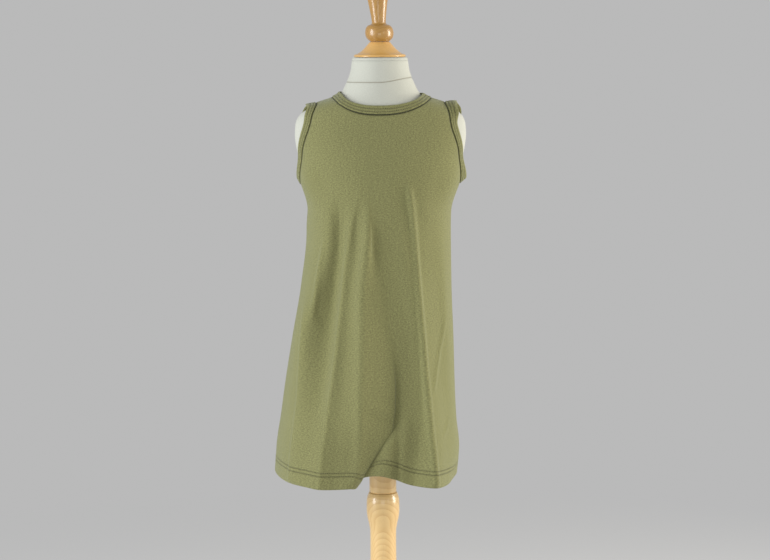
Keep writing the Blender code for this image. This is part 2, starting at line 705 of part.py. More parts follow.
def away_from_panel(loop, normals, middle):
    """Direction in the cloth's surface that leads from a panel's edge into the opening round middle."""
    along = np.roll(loop, -1, axis=0) - np.roll(loop, 1, axis=0)
    aside = unit(np.cross(normals, along))
    inwards = np.sum(aside * (middle - loop), axis=1)
    return aside if np.sum(inwards) > 0 else -aside


def dress(material):
    front, front_right, front_left = panel_grid(FRONT_FOLDS, -1)
    back, back_right, back_left = panel_grid(BACK_FOLDS, 1)
    front_normals = grid_normals(front, -1)
    back_normals = grid_normals(back, 1)
    skirt = slice(0, len(front) - UPPER_ROWS)
    for column in (0, -1):
        share_seam(front, back, front_normals, back_normals, (skirt, column))
    front_corners = (front_right, front_left)
    back_corners = (back_right, back_left)
    join_shoulders(front, back, front_normals, back_normals, front_corners, back_corners)
    panel("front_panel", front, front_normals, material)
    panel("back_panel", back, back_normals, material)
    corners = (front_corners, back_corners)
    edge, normals = round_neck(front, back, front_normals, back_normals, corners)
    neck_middle = np.array([0, 0, NECK_MIDDLE])
    away = away_from_panel(edge, normals, neck_middle)
    binding("neck_binding", edge, normals, away, NECK_BAND, material)
    for name, column, side in (("right", 0, -1), ("left", -1, 1)):
        edge, normals = round_arm(front, back, front_normals, back_normals, column)
        arm_middle = np.array([side * ARM_MIDDLE, 0, (UNDERARM + SHOULDER_TIP) / 2])
        away = away_from_panel(edge, normals, arm_middle)
        binding(f"{name}_armhole_binding", edge, normals, away, ARM_BAND, material, arm=True)


def join_shoulders(front, back, front_normals, back_normals, front_corners, back_corners):
    """Sets the two panels' shoulder edges a seam's gap apart, each with its own columns."""
    panels = ((front, front_normals, front_corners, -1), (back, back_normals, back_corners, 1))
    for grid, normals, corners, facing in panels:
        for edge in (slice(0, corners[0] + 1), slice(corners[1], None)):
            line = unit(grid[-1, edge][-1:] - grid[-1, edge][:1])
            aside = unit(np.cross(line, normals[-1, edge]))
            aside = aside * np.sign(aside[:, 1:2] * facing)
            grid[-1, edge] = grid[-1, edge] + aside * SEAM_GAP / 2


def ring_at(height):
    """The form's outline at a height, as points."""
    half_width, front, back, power = FORM_AT(height)[0]
    points = []
    for number in range(FORM_SIDES):
        turn = 2 * math.pi * number / FORM_SIDES
        sideways = math.copysign(abs(math.cos(turn)) ** (2 / power), math.cos(turn))
        depth = math.copysign(abs(math.sin(turn)) ** (2 / power), math.sin(turn))
        reach = back if depth > 0 else front
        points.append((half_width * sideways, reach * depth, height))
    return points


def dress_form(material):
    """The limbless torso, with rounded shoulders and a neck, as one smooth body."""
    heights = []
    for low, high in zip(FORM[:-1], FORM[1:]):
        span = high.height - low.height
        pieces = max(1, round(span / FORM_STEP)) if low.height < FORM_SHOULDER else 1
        heights += [(low.height + span * number / pieces) * MM for number in range(pieces)]
    heights.append(FORM[-1].height * MM)
    verts = [point for height in heights for point in ring_at(height)]
    faces = []
    for level in range(len(heights) - 1):
        for number in range(FORM_SIDES):
            following = (number + 1) % FORM_SIDES
            a = level * FORM_SIDES + number
            b = level * FORM_SIDES + following
            faces.append((a, b, b + FORM_SIDES, a + FORM_SIDES))
    faces.append(tuple(range(FORM_SIDES))[::-1])
    faces.append(tuple(range((len(heights) - 1) * FORM_SIDES, len(heights) * FORM_SIDES)))
    return object_from("form_torso", verts, faces, material, sharp=FORM_SHARP)


def turned(name, outline, material):
    """A piece turned on a lathe, from its outline of radius and height."""
    bm = bmesh.new()
    verts = [bm.verts.new((radius * MM, 0, height * MM)) for radius, height in outline]
    edges = [bm.edges.new(pair) for pair in zip(verts, verts[1:])]
    bmesh.ops.spin(
        bm,
        geom=verts + edges,
        cent=(0, 0, 0),
        axis=(0, 0, 1),
        angle=2 * math.pi,
        steps=TURNED_SIDES,
        use_merge=True,
    )
    bmesh.ops.remove_doubles(bm, verts=bm.verts, dist=0.01 * MM)
    bmesh.ops.recalc_face_normals(bm, faces=bm.faces)
    mesh = bpy.data.meshes.new(name)
    bm.to_mesh(mesh)
    bm.free()
    mesh.materials.append(material)
    mesh.shade_smooth()
    mesh.set_sharp_from_angle(angle=math.radians(TURNED_SHARP))
    obj = bpy.data.objects.new(name, mesh)
    bpy.context.scene.collection.objects.link(obj)
    return obj


def stand(material):
    """Neck cap, finial, plain upper post, turned lower post and round base."""
    turned("neck_cap", NECK_CAP, material)
    finial = turned("finial", FINIAL, material)
    for vert in finial.data.vertices:
        vert.co.x -= FINIAL_LEAN * (vert.co.z - FINIAL[0][1] * MM)
    radius = POST_RADIUS / MM
    bottom = POST_JOINT / MM
    top = FORM_BOTTOM / MM - 0.3
    upper = [(0, bottom), (radius - 1.2, bottom), (radius, bottom + 1.2)]
    upper += [(radius, top - 1), (radius - 1, top), (0, top)]
    turned("upper_post", upper, material)
    turned("turned_post", TURNED_POST, material)
    turned("base", BASE, material)


def material_of(finish):
    name, colour, roughness = finish
    material = bpy.data.materials.new(name)
    material.use_nodes = True
    shader = material.node_tree.nodes["Principled BSDF"]
    shader.inputs["Base Color"].default_value = (*colour, 1)
    shader.inputs["Roughness"].default_value = roughness
    shader.inputs["Metallic"].default_value = 0
    return material


def main():
    clear_scene()
    cotton = material_of(COTTON)
    canvas = material_of(CANVAS)
    wood = material_of(WOOD)
    dress(cotton)
    dress_form(canvas)
    stand(wood)


main()
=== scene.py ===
"""Looks of a child's sleeveless a-line jersey dress on a canvas dress form with a turned wooden stand.

Metres, +Z up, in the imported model's frame. The dress faces -Y and the wearer's left is +X.
Depth means distance forward of the stand's centre line. Tables are in millimetres.
"""

import math
from collections import namedtuple

import bpy
import numpy as np
from mathutils import Euler, Matrix


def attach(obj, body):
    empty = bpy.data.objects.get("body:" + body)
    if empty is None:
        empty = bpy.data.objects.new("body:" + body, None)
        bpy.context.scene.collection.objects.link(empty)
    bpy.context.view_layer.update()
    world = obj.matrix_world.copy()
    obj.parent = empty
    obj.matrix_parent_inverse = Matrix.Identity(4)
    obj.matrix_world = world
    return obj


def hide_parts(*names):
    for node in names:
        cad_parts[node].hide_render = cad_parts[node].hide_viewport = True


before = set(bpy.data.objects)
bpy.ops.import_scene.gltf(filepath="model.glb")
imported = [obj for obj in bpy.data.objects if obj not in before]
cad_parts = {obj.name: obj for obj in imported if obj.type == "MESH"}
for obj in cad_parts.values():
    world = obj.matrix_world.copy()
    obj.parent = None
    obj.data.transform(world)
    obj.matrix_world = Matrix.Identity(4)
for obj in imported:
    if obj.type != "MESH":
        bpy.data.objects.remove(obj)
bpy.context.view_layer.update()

MM = 0.001

# Ways that a panel faces
FRONT = -1
BACK = 1

# Smallest divisors, in place of nothing
SHORTEST = 1e-12
NARROWEST = 1e-9


def table(kind, *rows):
    """The rows of a table as named tuples."""
    return [kind(*row) for row in rows]


# Cloth
CLOTH = 1.5 * MM
SEAM_GAP = 0.12 * MM  # the side and shoulder seams, drawn together
CLEARANCE = 1.8 * MM  # middle of the cloth to the form that it lies on
HEM_LAYER = 0.9 * MM  # the second layer inside the hem
HEM_SWELL = 0.25 * MM  # how far that layer lifts the cloth's outer face
HEM_FADE = 1.5 * MM  # height over which both end
HEM_FOLD = 1.4 * MM  # height of the rounded fold at the hem's edge
FOLD_OUTER = 0.75 * MM  # how far the fold takes in the outer face
FOLD_INNER = 1.0 * MM

# A groove is sunk into a surface, with shade painted into it; the last field is how dark that painted shade
# is in its middle.
Groove = namedtuple("Groove", "depth width dark")
HEM_GROOVE = Groove(0.45 * MM, 0.6 * MM, 0.9)
SIDE_GROOVE = Groove(0.5 * MM, 1.3 * MM, 0.5)
EDGE_GROOVE = Groove(0.6 * MM, 1.5 * MM, 1.0)

# Bindings and stitches
HEM_ROWS = (18.4 * MM, 23.2 * MM)  # heights of the hem's two rows of stitches
NECK_BAND = 13.0 * MM
ARM_BAND = 12.0 * MM
BAND_GAP = 0.15 * MM
BAND_RAISE = 0.55 * MM  # a binding's middle above the panel's middle
BAND_STEPS = 26
COARSE_STEPS = 3  # the solids' steps across a binding
STITCH_PITCH = 2.5 * MM
STITCH_LENGTH = 1.65 * MM
STITCH_RADIUS = 0.3 * MM
# Outline of a stitch: shares of its length, and of its radius there
STITCH_RINGS = [(-0.5, 0.12), (-0.42, 0.7), (-0.2, 1.0), (0.2, 1.0), (0.42, 0.7), (0.5, 0.12)]
STITCH_SIDES = 6
STITCH_LOOK = 0.5 * MM  # how far ahead and behind its direction is taken

# Heights of the dress on the form
UNDERARM = 763 * MM
SHOULDER_TIP = 871.5 * MM
NECK_SIDE = 878.6 * MM
NECK_FRONT = 859 * MM
NECK_BACK = 873.0 * MM
NECK_LEAN = 0.9 * MM
NECK_CURVE = 2.45
HEM_LEVEL = 351 * MM

# Armholes, as on the solids: how far they reach forward and back, how square their top is, and how far
# the cloth and the binding stand away from the form
ArmSide = namedtuple("ArmSide", "reach square ease flare lift")
ARM_SIDES = {-1: ArmSide(33, 0.42, 6.5, 3, 3.5), 1: ArmSide(33.5, 0.28, 5, 7.5, 8)}
ARM_LEAN = 0.33
ARM_ROUND = 0.18
SQUARE_RANGE = (-0.5, 0.6)  # where the squareness comes in: -1 is the underarm and 1 the shoulder
EASE_HEIGHTS = (722 * MM, UNDERARM, 805 * MM)
EASE_WIDTH = (0.72, 1.0)
LIFT_HEIGHTS = (846 * MM, 868 * MM)
SHOULDER_ROOM = 0.8 * MM
ROOM_HEIGHTS = (836 * MM, 862 * MM)
ARM_MIDDLE = 125 * MM  # a place out in the armholes, sideways
NECK_MIDDLE = 890 * MM  # a place up in the neck opening

# Grids: the solids' own rows and columns over the chest, and how much finer the cloth is drawn
UPPER_ROWS = 15
SHOULDER_SHARE = 0.78
EDGE_PLACES = 400
NEAREST_STEPS = 12
SPREAD_STEPS = 120
EDGE_MARGIN = 3.5 * MM
FREE_ROWS = slice(3, -1)
FINER = 6
MEETING_ROWS = 3 * FINER  # rows over which the chest's shape takes over from the skirt's
NORMAL_ROWS = 2 * FINER  # rows over which the form's directions take over
CORNER_RANGE = (0.5, 1.0)  # shares of the chest's height between which the neckline's corners come in
OVERLAP = 2  # places by which a closed loop overlaps itself while it is made finer
LOWER_STEP = 4.8 * MM
HEM_HEIGHTS = (0, 0.5, 1.2, 2.2, 4, 7, 10.5, 14, 16.6, 17.7, 18.4, 19.1, 20, 21, 21.9, 22.5)
HEM_HEIGHTS += (23.2, 23.9, 24.9, 27)  # heights of the rows near the hem, in millimetres
SETTLE_SHARE = 0.22  # share of the skirt over which it leaves the form's surface
FORM_BOTTOM = 470 * MM

FormSection = namedtuple("FormSection", "height half_width front back power")
FORM = table(
    FormSection,
    (470, 62, 42, 42, 2.0),
    (473, 75, 55, 56, 2.1),
    (484, 84, 66, 67, 2.2),
    (508, 90, 75, 77, 2.2),
    (550, 93, 79, 81, 2.2),
    (600, 90, 79, 77, 2.2),
    (655, 87, 78.5, 71, 2.2),
    (700, 90, 77.5, 69, 2.2),
    (735, 95, 78, 71, 2.2),
    (765, 103.5, 77.5, 74, 2.2),
    (798, 114, 73, 76, 2.1),
    (815, 118.2, 69, 75.5, 2.05),
    (830, 119.7, 64.5, 73.5, 2.0),
    (843, 119, 60, 71, 2.0),
    (851, 117, 57.8, 69, 2.0),
    (858, 112.5, 56, 67.2, 2.0),
    (864.5, 104, 54.5, 65.2, 2.0),
    (872, 88, 52.5, 62, 2.0),
    (879.5, 66, 50, 57, 2.0),
    (886, 55.5, 47.8, 53, 2.0),
    (893, 51.5, 45.8, 49.7, 2.0),
    (901, 47.8, 43.8, 46.4, 2.0),
    (910, 43.8, 41.6, 43.2, 2.0),
    (921, 40.7, 39.6, 40.6, 2.0),
    (931, 39.2, 38.4, 39, 2.0),
    (935.6, 38.4, 37.7, 38.2, 2.0),
    (937.3, 36.7, 36, 36.3, 2.0),
)

# Shares of the way down from the underarm to the hem at which the fold tables give a place
STATIONS = (0.0, 0.16, 0.35, 0.53, 0.69, 0.8, 0.9, 1.0)
FoldLine = namedtuple("FoldLine", "name columns hem across depth")
RIGHT_SEAM = (-104, -112.5, -125.5, -136.5, -143, -149.5, -152.5)
LEFT_SEAM = (97.3, 98, 100.5, 102, 104, 108, 104.5)
SEAM_DEPTH = (0,) * 7
FRONT_FOLDS = table(
    FoldLine,
    ("right side seam", 4, 354, RIGHT_SEAM, SEAM_DEPTH),
    ("side crest", 3, 352, (-73, -90, -112, -117, -122, -127, -131), (65, 65.5, 67, 70, 73, 76, 79)),
    ("side valley", 3, 351, (-56, -64, -74, -82, -93, -99, -103), (65.5, 65, 76, 89, 99, 106, 110)),
    ("long crest", 3, 350, (-43, -52, -61, -70, -77, -84, -88), (76, 80, 91, 103, 111, 117, 120)),
    ("narrow valley", 3, 349.5, (-33, -42, -48, -55, -60, -64, -67), (77.5, 83, 94, 106, 114, 117.5, 119)),
    ("centre crest", 3, 350.5, (-18, -24, -25, -27, -28, -35, -45), (83.5, 92, 104, 115, 119, 118, 119.5)),
    ("pouch", 3, 350, (-14, -1, 10, 16, 13, -13, -37), (80.8, 84.5, 91.5, 97.5, 103, 112, 112.5)),
    ("deep valley", 4, 361.5, (-8, 5, 15.5, 20, 17, -5, -32), (79.8, 82.5, 88.5, 92.5, 98, 108.5, 110)),
    ("inner flank", 3, 367, (12, 25, 34, 38, 34, 9, -4), (79, 81.5, 87, 93, 99.5, 112.5, 114)),
    ("outer flank", 3, 352, (32, 43, 50, 53, 52, 47, 41), (77.5, 82.5, 88.5, 96, 102, 105.5, 105)),
    ("left crest", 3, 350.3, (45, 52, 58, 64, 67.5, 71, 72), (72.5, 79, 87, 98, 105, 112, 117)),
    ("left valley", 3, 347.5, (68, 75, 80, 85, 88.5, 90.5, 88), (57, 56, 61, 68, 73, 80, 85)),
    ("left side crest", 3, 346, (85.5, 89, 93.5, 97, 100, 103, 97), (38, 40, 41, 44, 46, 45, 38)),
    ("left side seam", 0, 348.5, LEFT_SEAM, SEAM_DEPTH),
)
BACK_FOLDS = table(
    FoldLine,
    ("right side seam", 3, 354, RIGHT_SEAM, SEAM_DEPTH),
    ("right side crest", 3, 353, (-90, -98, -109, -118, -122, -126, -128), (41, 49, 58, 65, 69, 73, 75)),
    ("right valley", 3, 354.5, (-65, -73, -80, -87, -90, -93, -95), (60, 64, 68, 71, 72, 73, 73)),
    ("right crest", 3, 351, (-44, -50, -56, -62, -66, -69, -71), (71.5, 81, 93, 104, 110, 115, 119)),
    ("right middle valley", 3, 353.5, (-22, -27, -32, -36, -38, -40, -42), (76, 81, 86, 89, 89, 88, 87)),
    ("middle crest", 3, 350.5, (1, -1, -5, -9, -11, -13, -14), (78, 86, 96, 107, 113, 118, 122)),
    ("left middle valley", 3, 353.5, (22, 22, 21.5, 21, 20.5, 20, 19), (76, 81, 86, 90, 90, 89, 88)),
    ("left crest", 3, 351, (41, 43.5, 47, 51, 53.5, 55, 56), (71.5, 80, 91, 101, 107, 112, 115)),
    ("left valley", 3, 354.5, (61, 64, 68, 72.5, 75, 77, 78), (59.5, 63, 67, 71, 72, 73, 74)),
    ("left side crest", 3, 352, (79.5, 82.5, 87, 91.5, 94.5, 98, 98), (41, 45, 50, 55, 58, 61, 63)),
    ("left side seam", 0, 348.5, LEFT_SEAM, SEAM_DEPTH),
)

# A crease is a ridge of the cloth, or a trough where its height is negative. right and left are its half
# widths on the wearer's right and left. It fades in over fade_top and out over fade_bottom, down to
# CREASE_END below its lowest place. A row of line gives height and place.
CREASE_END = 1 * MM
Crease = namedtuple("Crease", "name height right left fade_top fade_bottom line")
FRONT_CREASES = table(
    Crease,
    ("outer side ridge", 2.6, 4, 4, 40, 40, [(700, -76), (675, -80), (636, -87), (591, -94), (565, -99)]),
    ("inner side ridge", 3.2, 4, 24, 40, 5,
     [(610, -106), (557, -109.3), (520, -111.8), (464, -115.9), (426, -121), (388, -125.7), (352, -129)]),
    ("long ridge", 1.3, 4, 4, 60, 5,
     [(775, -27), (758, -29.5), (702, -41), (660, -48), (615, -53), (584, -57), (539, -61.5),
      (499, -67), (463, -72.5), (426, -77.5), (399, -82.5), (350, -87)]),
    ("middle ridge", 3.0, 8, 8, 60, 10,
     [(750, -12), (684, -18.8), (641, -24.6), (598, -28), (527, -28), (472, -30), (398, -31), (353, -38)]),
    ("left ridge", 3.8, 4.5, 4.5, 25, 5,
     [(772, 37), (760, 38.5), (731, 42.3), (693, 45.5), (658, 48), (624, 50.5), (580, 54), (543, 57),
      (506, 59.5), (478, 62.3), (449, 64.6), (424, 67), (398, 70), (350, 74)]),
    ("joining ridge", 1.8, 3.6, 3.6, 40, 30, [(590, 90), (577, 88.3), (528, 78), (471, 69)]),
    ("short ridge", 2.0, 3.4, 3.4, 12, 12, [(440, 94), (413, 82)]),
    ("lower trough", -3.2, 6, 6, 30, 1, [(462, 21.5), (420, 21.5), (400, 20.5), (352, 20)]),
)
BACK_CREASES = table(
    Crease,
    ("right side ridge", 2.2, 5, 9, 45, 5, [(640, -100), (560, -110), (470, -119), (352, -127)]),
    ("right ridge", 2.8, 3.8, 9, 60, 5, [(745, -40), (690, -48), (600, -57), (500, -64), (352, -72)]),
    ("middle ridge", 2.4, 9, 4.5, 60, 5, [(720, 3), (640, -1), (560, -7), (450, -12), (352, -15)]),
    ("left ridge", 2.8, 8, 3.4, 50, 5, [(740, 38), (660, 44), (560, 49), (450, 54), (352, 58)]),
    ("left side ridge", 1.8, 4, 4, 40, 20, [(650, 80), (560, 88), (470, 94), (380, 98)]),
)
# A dent is a soft crossing crease: its height, half width and the two ends, each a height and a place
Dent = namedtuple("Dent", "height width first second")
FRONT_DENTS = table(
    Dent,
    (1.6, 6, (468, -28), (452, 18)),
    (-1.3, 6, (452, -26), (438, 16)),
    (0.9, 5, (487, -10), (478, 18)),
    (0.8, 7, (600, -104), (560, -84)),
    (0.8, 6, (505, 84), (470, 96)),
    (0.6, 6, (742, 40), (716, 78)),
    (0.6, 7, (735, -84), (705, -58)),
)
BACK_DENTS = table(
    Dent,
    (0.9, 7, (700, -30), (660, 20)),
    (0.9, 7, (470, -60), (440, -20)),
    (0.8, 6, (520, 20), (500, 60)),
)

# Cross-section of a binding, in millimetres: distance from the seam, and height of its outer face above
# its middle. The back is its inner face below the middle.
NECK_PROFILE = [(0, -0.9), (0.4, -0.1), (0.9, 0.95), (1.6, 1.35), (2.4, 1.3), (3.2, 1.15), (3.8, 0.72)]
NECK_PROFILE += [(4.4, 1.12), (5.8, 1.25), (7.3, 1.15), (7.9, 0.72), (8.5, 1.12), (10, 1.25), (11.6, 1.1)]
NECK_PROFILE += [(12.5, 0.75), (13, 0.1)]
BAND_BACK = [(0, 0.9), (1.5, 1.2), (11.5, 1.2), (13, 0.2)]
NECK_STITCH_ROWS = (3.8 * MM, 7.9 * MM)
BAND_SEAM_SHADE_WIDTH = 0.6  # half width of the shade painted along the seam, in millimetres
# Half width and strength of the shade painted along each stitch row
BAND_STITCH_SHADE_WIDTH = 0.55
BAND_STITCH_SHADE = 0.9

# Turned pieces: radius and height of the outline, in millimetres
NECK_CAP = [(0, 937.6), (34.5, 937.6), (36.3, 938.6), (36, 940), (30, 943), (24.5, 947), (19.5, 952)]
NECK_CAP += [(15.5, 956.8), (14, 958.4), (0, 958.4)]
FINIAL = [(0, 958.7), (12.6, 958.7), (15.8, 961.2), (18.9, 965.5), (19.8, 971), (18.9, 976.4), (15.6, 981)]
FINIAL += [(10.6, 983.4), (9.7, 985), (10.2, 991), (11.3, 999), (12.8, 1009), (14.6, 1019), (16.3, 1030)]
FINIAL += [(17, 1041), (16.4, 1051), (14.2, 1061), (10.8, 1068.5), (6, 1073.5), (0, 1075)]
UPPER_POST = [(0, 321), (18, 321), (19.2, 322.2), (19.2, 468.7), (18.2, 469.7), (0, 469.7)]
TURNED_POST = [(0, 24.3), (30, 24.3), (31.5, 27), (30.5, 31), (26, 34), (21, 39), (19.5, 46), (22.5, 51)]
TURNED_POST += [(24, 56), (22.5, 61), (19, 66), (20.5, 85), (21, 120), (20, 165), (18.8, 205), (18.5, 250)]
TURNED_POST += [(18.6, 264), (20.2, 275), (22.6, 286), (23.5, 295), (23.4, 306), (22.3, 314), (19.9, 320.7)]
TURNED_POST += [(0, 320.7)]
BASE = [(0, 0), (146, 0), (149, 1.5), (150, 5), (150, 13), (148, 17.5), (143, 20), (60, 23.2), (52, 24)]
BASE += [(0, 24)]
FINIAL_LEAN = 0.045
TURNED_SIDES = 96
TURNED_STEP = 1.2 * MM
GRAIN_RADIUS = 20 * MM  # their flat coordinates run round at this radius

# Canvas form. It is drawn in stretches of its height: the underside, up to the neck's seam, across the
# seam, and up to the top edge. FORM_STEPS has the step between the rings of each.
FORM_SIDES = 144
UNDERSIDE = 15 * MM
SEAM_BELOW = 5 * MM
SEAM_ABOVE = 4 * MM
TOP_EDGE = 4 * MM
FORM_STEPS = (1 * MM, 5 * MM, 0.7 * MM, 2.5 * MM)
TOP_RINGS = 9
NECK_SEAM = (903.4 * MM, 909.3 * MM)  # height of the seam round the neck, at the wearer's right and left
NECK_WIDTH = 45 * MM  # the seam climbs from one to the other over this width
FORM_GROOVE = Groove(0.55 * MM, 0.7 * MM, 0.8)
SEAM_RIDGE = (1.8 * MM, 1.2 * MM, 0.25 * MM)  # its height above the seam, width and rise
CANVAS_RADIUS = 80 * MM  # the canvas's flat coordinates run round the form at this radius

# Materials: name, colour in shares of red, green and blue, and the dark colour painted as shade into its
# seams and grooves, which also darkens the gaps in its knit or weave
OLIVE_JERSEY = ("olive_jersey", (0.203, 0.2, 0.083, 1), (0.012, 0.011, 0.004, 1))
OLIVE_THREAD = ("olive_thread", (0.27, 0.26, 0.12, 1), (0.05, 0.05, 0.02, 1))
CREAM_CANVAS = ("cream_canvas", (0.51, 0.515, 0.45, 1), (0.2, 0.18, 0.13, 1))
WALE_PITCH = 1.05 * MM
COURSE_PITCH = 0.8 * MM
WEAVE_PITCH = 1.0 * MM

# Woods: name, colour, colour of the growth rings, and what moves the rings' middle sideways and in depth
PALE_WOOD = ("pale_lacquered_wood", (0.76, 0.535, 0.24, 1), (0.52, 0.285, 0.085, 1), (-0.003, -0.1))
GOLDEN_WOOD = ("golden_lacquered_wood", (0.41, 0.225, 0.052, 1), (0.25, 0.11, 0.02, 1), (0.004, -0.305))
HONEY_WOOD = ("honey_lacquered_wood", (0.68, 0.4, 0.12, 1), (0.46, 0.23, 0.05, 1), (-0.008, -0.31))
RING_PITCH = 2.6 * MM
RING_SWAY = 6 * MM
RING_LEAN = 0.3

# Floor and surroundings. The floor has faded into the surroundings at the second distance.
FLOOR_REACH = 40
FLOOR_FADE = (0.5, 1.5)
FLOOR_COLOUR = (0.6, 0.6, 0.6, 1)
FLOOR_GRAIN = (0.55, 0.55, 0.55, 1)
SURROUNDINGS = (0.49, 0.49, 0.49, 1)

# Soft boxes, in metres and watts: each faces its target, and its size is its width and height
Lamp = namedtuple("Lamp", "name place target size power colour")
LAMPS = table(
    Lamp,
    ("window_side", (-2.1, -0.98, 1.0), (0, 0, 0.68), (0.8, 1.8), 54, (0.94, 0.97, 1.0)),
    ("room_side", (2.3, -0.05, 0.95), (0, 0, 0.62), (0.8, 1.6), 64, (1.0, 0.96, 0.88)),
    ("low_front_fill", (0, -2.4, 0.4), (0, 0, 0.45), (1.0, 0.6), 5.5, (1.0, 1.0, 1.0)),
    ("right_strip", (-1.6, -2.05, 1.1), (0, 0, 0.8), (0.16, 1.6), 4, (1.0, 1.0, 1.0)),
    ("left_strip", (1.6, -2.05, 1.1), (0, 0, 0.8), (0.16, 1.6), 4, (1.0, 1.0, 1.0)),
)

# Camera of the photograph
SENSOR_WIDTH = 36
IMAGE_WIDTH = 770
FOCAL_PIXELS = 2160
HORIZON_PIXELS = 253
CAMERA_PLACE = (0.005, -3.024, 0.979)
CAMERA_ROLL = -0.39


def unit(vectors):
    """The same directions with a length of one."""
    return vectors / np.maximum(np.linalg.norm(vectors, axis=-1, keepdims=True), SHORTEST)


def ramp(value, start, end):
    """0 at start, 1 at end, smooth in between and level beyond."""
    share = np.clip((value - start) / (end - start), 0, 1)
    return share * share * (3 - 2 * share)


def bell(distance, width):
    """1 at a distance of 0, and falling smoothly to nothing within about two widths."""
    return np.exp(-((distance / width) ** 2))


def hermite(t, start, end, leaving, arriving):
    """A smooth curve between two points with these slopes at them, at shares t of the way."""
    line = start * (2 * t**3 - 3 * t**2 + 1) + end * (3 * t**2 - 2 * t**3)
    return line + leaving * (t**3 - 2 * t**2 + t) + arriving * (t**3 - t**2)


def steady_curve(knots, values, first_slope=None):
    """A smooth curve through the values that never swings past them, as a function of the knot value."""
    knots = np.asarray(knots, float)
    values = np.asarray(values, float).reshape(len(knots), -1)
    step = np.diff(knots)[:, None]
    rise = np.diff(values, axis=0) / step
    slope = np.empty_like(values)
    slope[0] = rise[0] if first_slope is None else first_slope
    slope[-1] = rise[-1]
    before = rise[:-1]
    after = rise[1:]
    same_way = before * after > 0
    safe_before = np.where(same_way, before, 1.0)
    safe_after = np.where(same_way, after, 1.0)
    near = 2 * step[1:] + step[:-1]
    far = step[1:] + 2 * step[:-1]
    slope[1:-1] = np.where(same_way, (near + far) / (near / safe_before + far / safe_after), 0.0)

    def at(place):
        place = np.clip(np.atleast_1d(np.asarray(place, float)), knots[0], knots[-1])
        left = np.clip(np.searchsorted(knots, place, side="right") - 1, 0, len(knots) - 2)
        width = step[left]
        t = (place - knots[left])[:, None] / width
        return hermite(t, values[left], values[left + 1], width * slope[left], width * slope[left + 1])

    return at


def form_outline():
    """Half-width, front depth, back depth and roundness of the form, as a function of height."""
    rows = np.array(FORM, float)
    sizes = rows[:, 1:].copy()
    sizes[:, :3] *= MM
    return steady_curve(rows[:, 0] * MM, sizes)


FORM_AT = form_outline()


def outsideness(points):
    """Under 1 inside the form, 1 on its surface and over 1 outside, for points given as x, y, z."""
    half_width, front, back, power = FORM_AT(points[:, 2]).T
    depth = np.where(points[:, 1] < 0, front, back)
    return (np.abs(points[:, 0]) / half_width) ** power + (np.abs(points[:, 1]) / depth) ** power


def form_slopes(points):
    """How fast outsideness grows along x, y and z at these points."""
    small = 0.05 * MM
    slopes = np.empty_like(points)
    for axis in range(3):
        step = np.zeros(3)
        step[axis] = small
        slopes[:, axis] = (outsideness(points + step) - outsideness(points - step)) / (2 * small)
    return slopes


def form_normals(points):
    """The form's outward direction at points on its surface."""
    return unit(form_slopes(points))


def resting_normals(points):
    """The form's outward direction at the places on it nearest to these points."""
    return form_normals(onto_form(points, np.zeros(len(points))))


def onto_form(points, distance, steps=NEAREST_STEPS):
    """Each point moved to the nearest place on the form, then out by distance."""
    surface = points.copy()
    for _ in range(steps):
        slopes = form_slopes(surface)
        steep = np.maximum(np.sum(slopes * slopes, axis=1), 1.0)
        surface = surface - slopes * ((outsideness(surface) - 1) / steep)[:, None]
    return surface + form_normals(surface) * np.reshape(distance, (-1, 1))


def of_arm(points, field):
    """A size of the nearer arm's ArmSide, in metres, for each point."""
    right = getattr(ARM_SIDES[-1], field)
    left = getattr(ARM_SIDES[1], field)
    return np.where(points[:, 0] < 0, right, left) * MM


def underarm_weight(points):
    """1 at the underarm and 0 away from it."""
    half_width = FORM_AT(points[:, 2])[:, 0]
    outwards = ramp(np.abs(points[:, 0]) / half_width, *EASE_WIDTH)
    start, middle, end = EASE_HEIGHTS
    return outwards * ramp(points[:, 2], start, middle) * ramp(points[:, 2], end, middle)


def cloth_distance(points):
    """How far the middle of the cloth lies from the form near these points."""
    room = CLEARANCE + SHOULDER_ROOM * ramp(points[:, 2], *ROOM_HEIGHTS)
    return room + of_arm(points, "ease") * underarm_weight(points)


def dressed(points, steps=NEAREST_STEPS):
    """The middle of the cloth over the chest and shoulders, near these points."""
    return onto_form(points, cloth_distance(points), steps)


def form_depth(sideways, height, forward):
    """Depth of the form's surface at a place sideways and a height, in front or behind."""
    half_width, front, back, power = FORM_AT(height).T
    reach = front if forward else back
    share = np.clip(np.abs(sideways) / half_width, 0, 1)
    return reach * (1 - share**power) ** (1 / power)


def armhole(turn, side, forward):
    """The seam round an armhole: turn runs from 0 at the underarm to pi at the shoulder."""
    middle = (UNDERARM + SHOULDER_TIP) / 2
    height = middle - (SHOULDER_TIP - UNDERARM) / 2 * np.cos(turn)
    square = ARM_ROUND + (ARM_SIDES[side].square - ARM_ROUND) * ramp(-np.cos(turn), *SQUARE_RANGE)
    roundness = np.maximum(np.sin(turn), 0) ** (1 - square)
    depth = ARM_SIDES[side].reach * MM * (1 - ARM_LEAN * np.cos(turn)) * roundness
    half_width, front, back, power = FORM_AT(height).T
    reach = front if forward else back
    out = half_width * (1 - np.clip(depth / reach, 0, 1) ** power) ** (1 / power)
    facing = FRONT if forward else BACK
    return dressed(np.stack([side * out, facing * depth, height], axis=1))


def distances(points):
    """Distance along a line of points, from its first one to each."""
    return np.concatenate([[0], np.cumsum(np.linalg.norm(np.diff(points, axis=0), axis=1))])


def on_line(places, run, points):
    """The line's values at these distances along it, where run has the distance of each of its points."""
    return np.stack([np.interp(places, run, points[:, axis]) for axis in range(3)], axis=1)


def evenly(points, count):
    """Places at equal steps along a line of points."""
    run = distances(points)
    return on_line(np.linspace(0, run[-1], count), run, points)


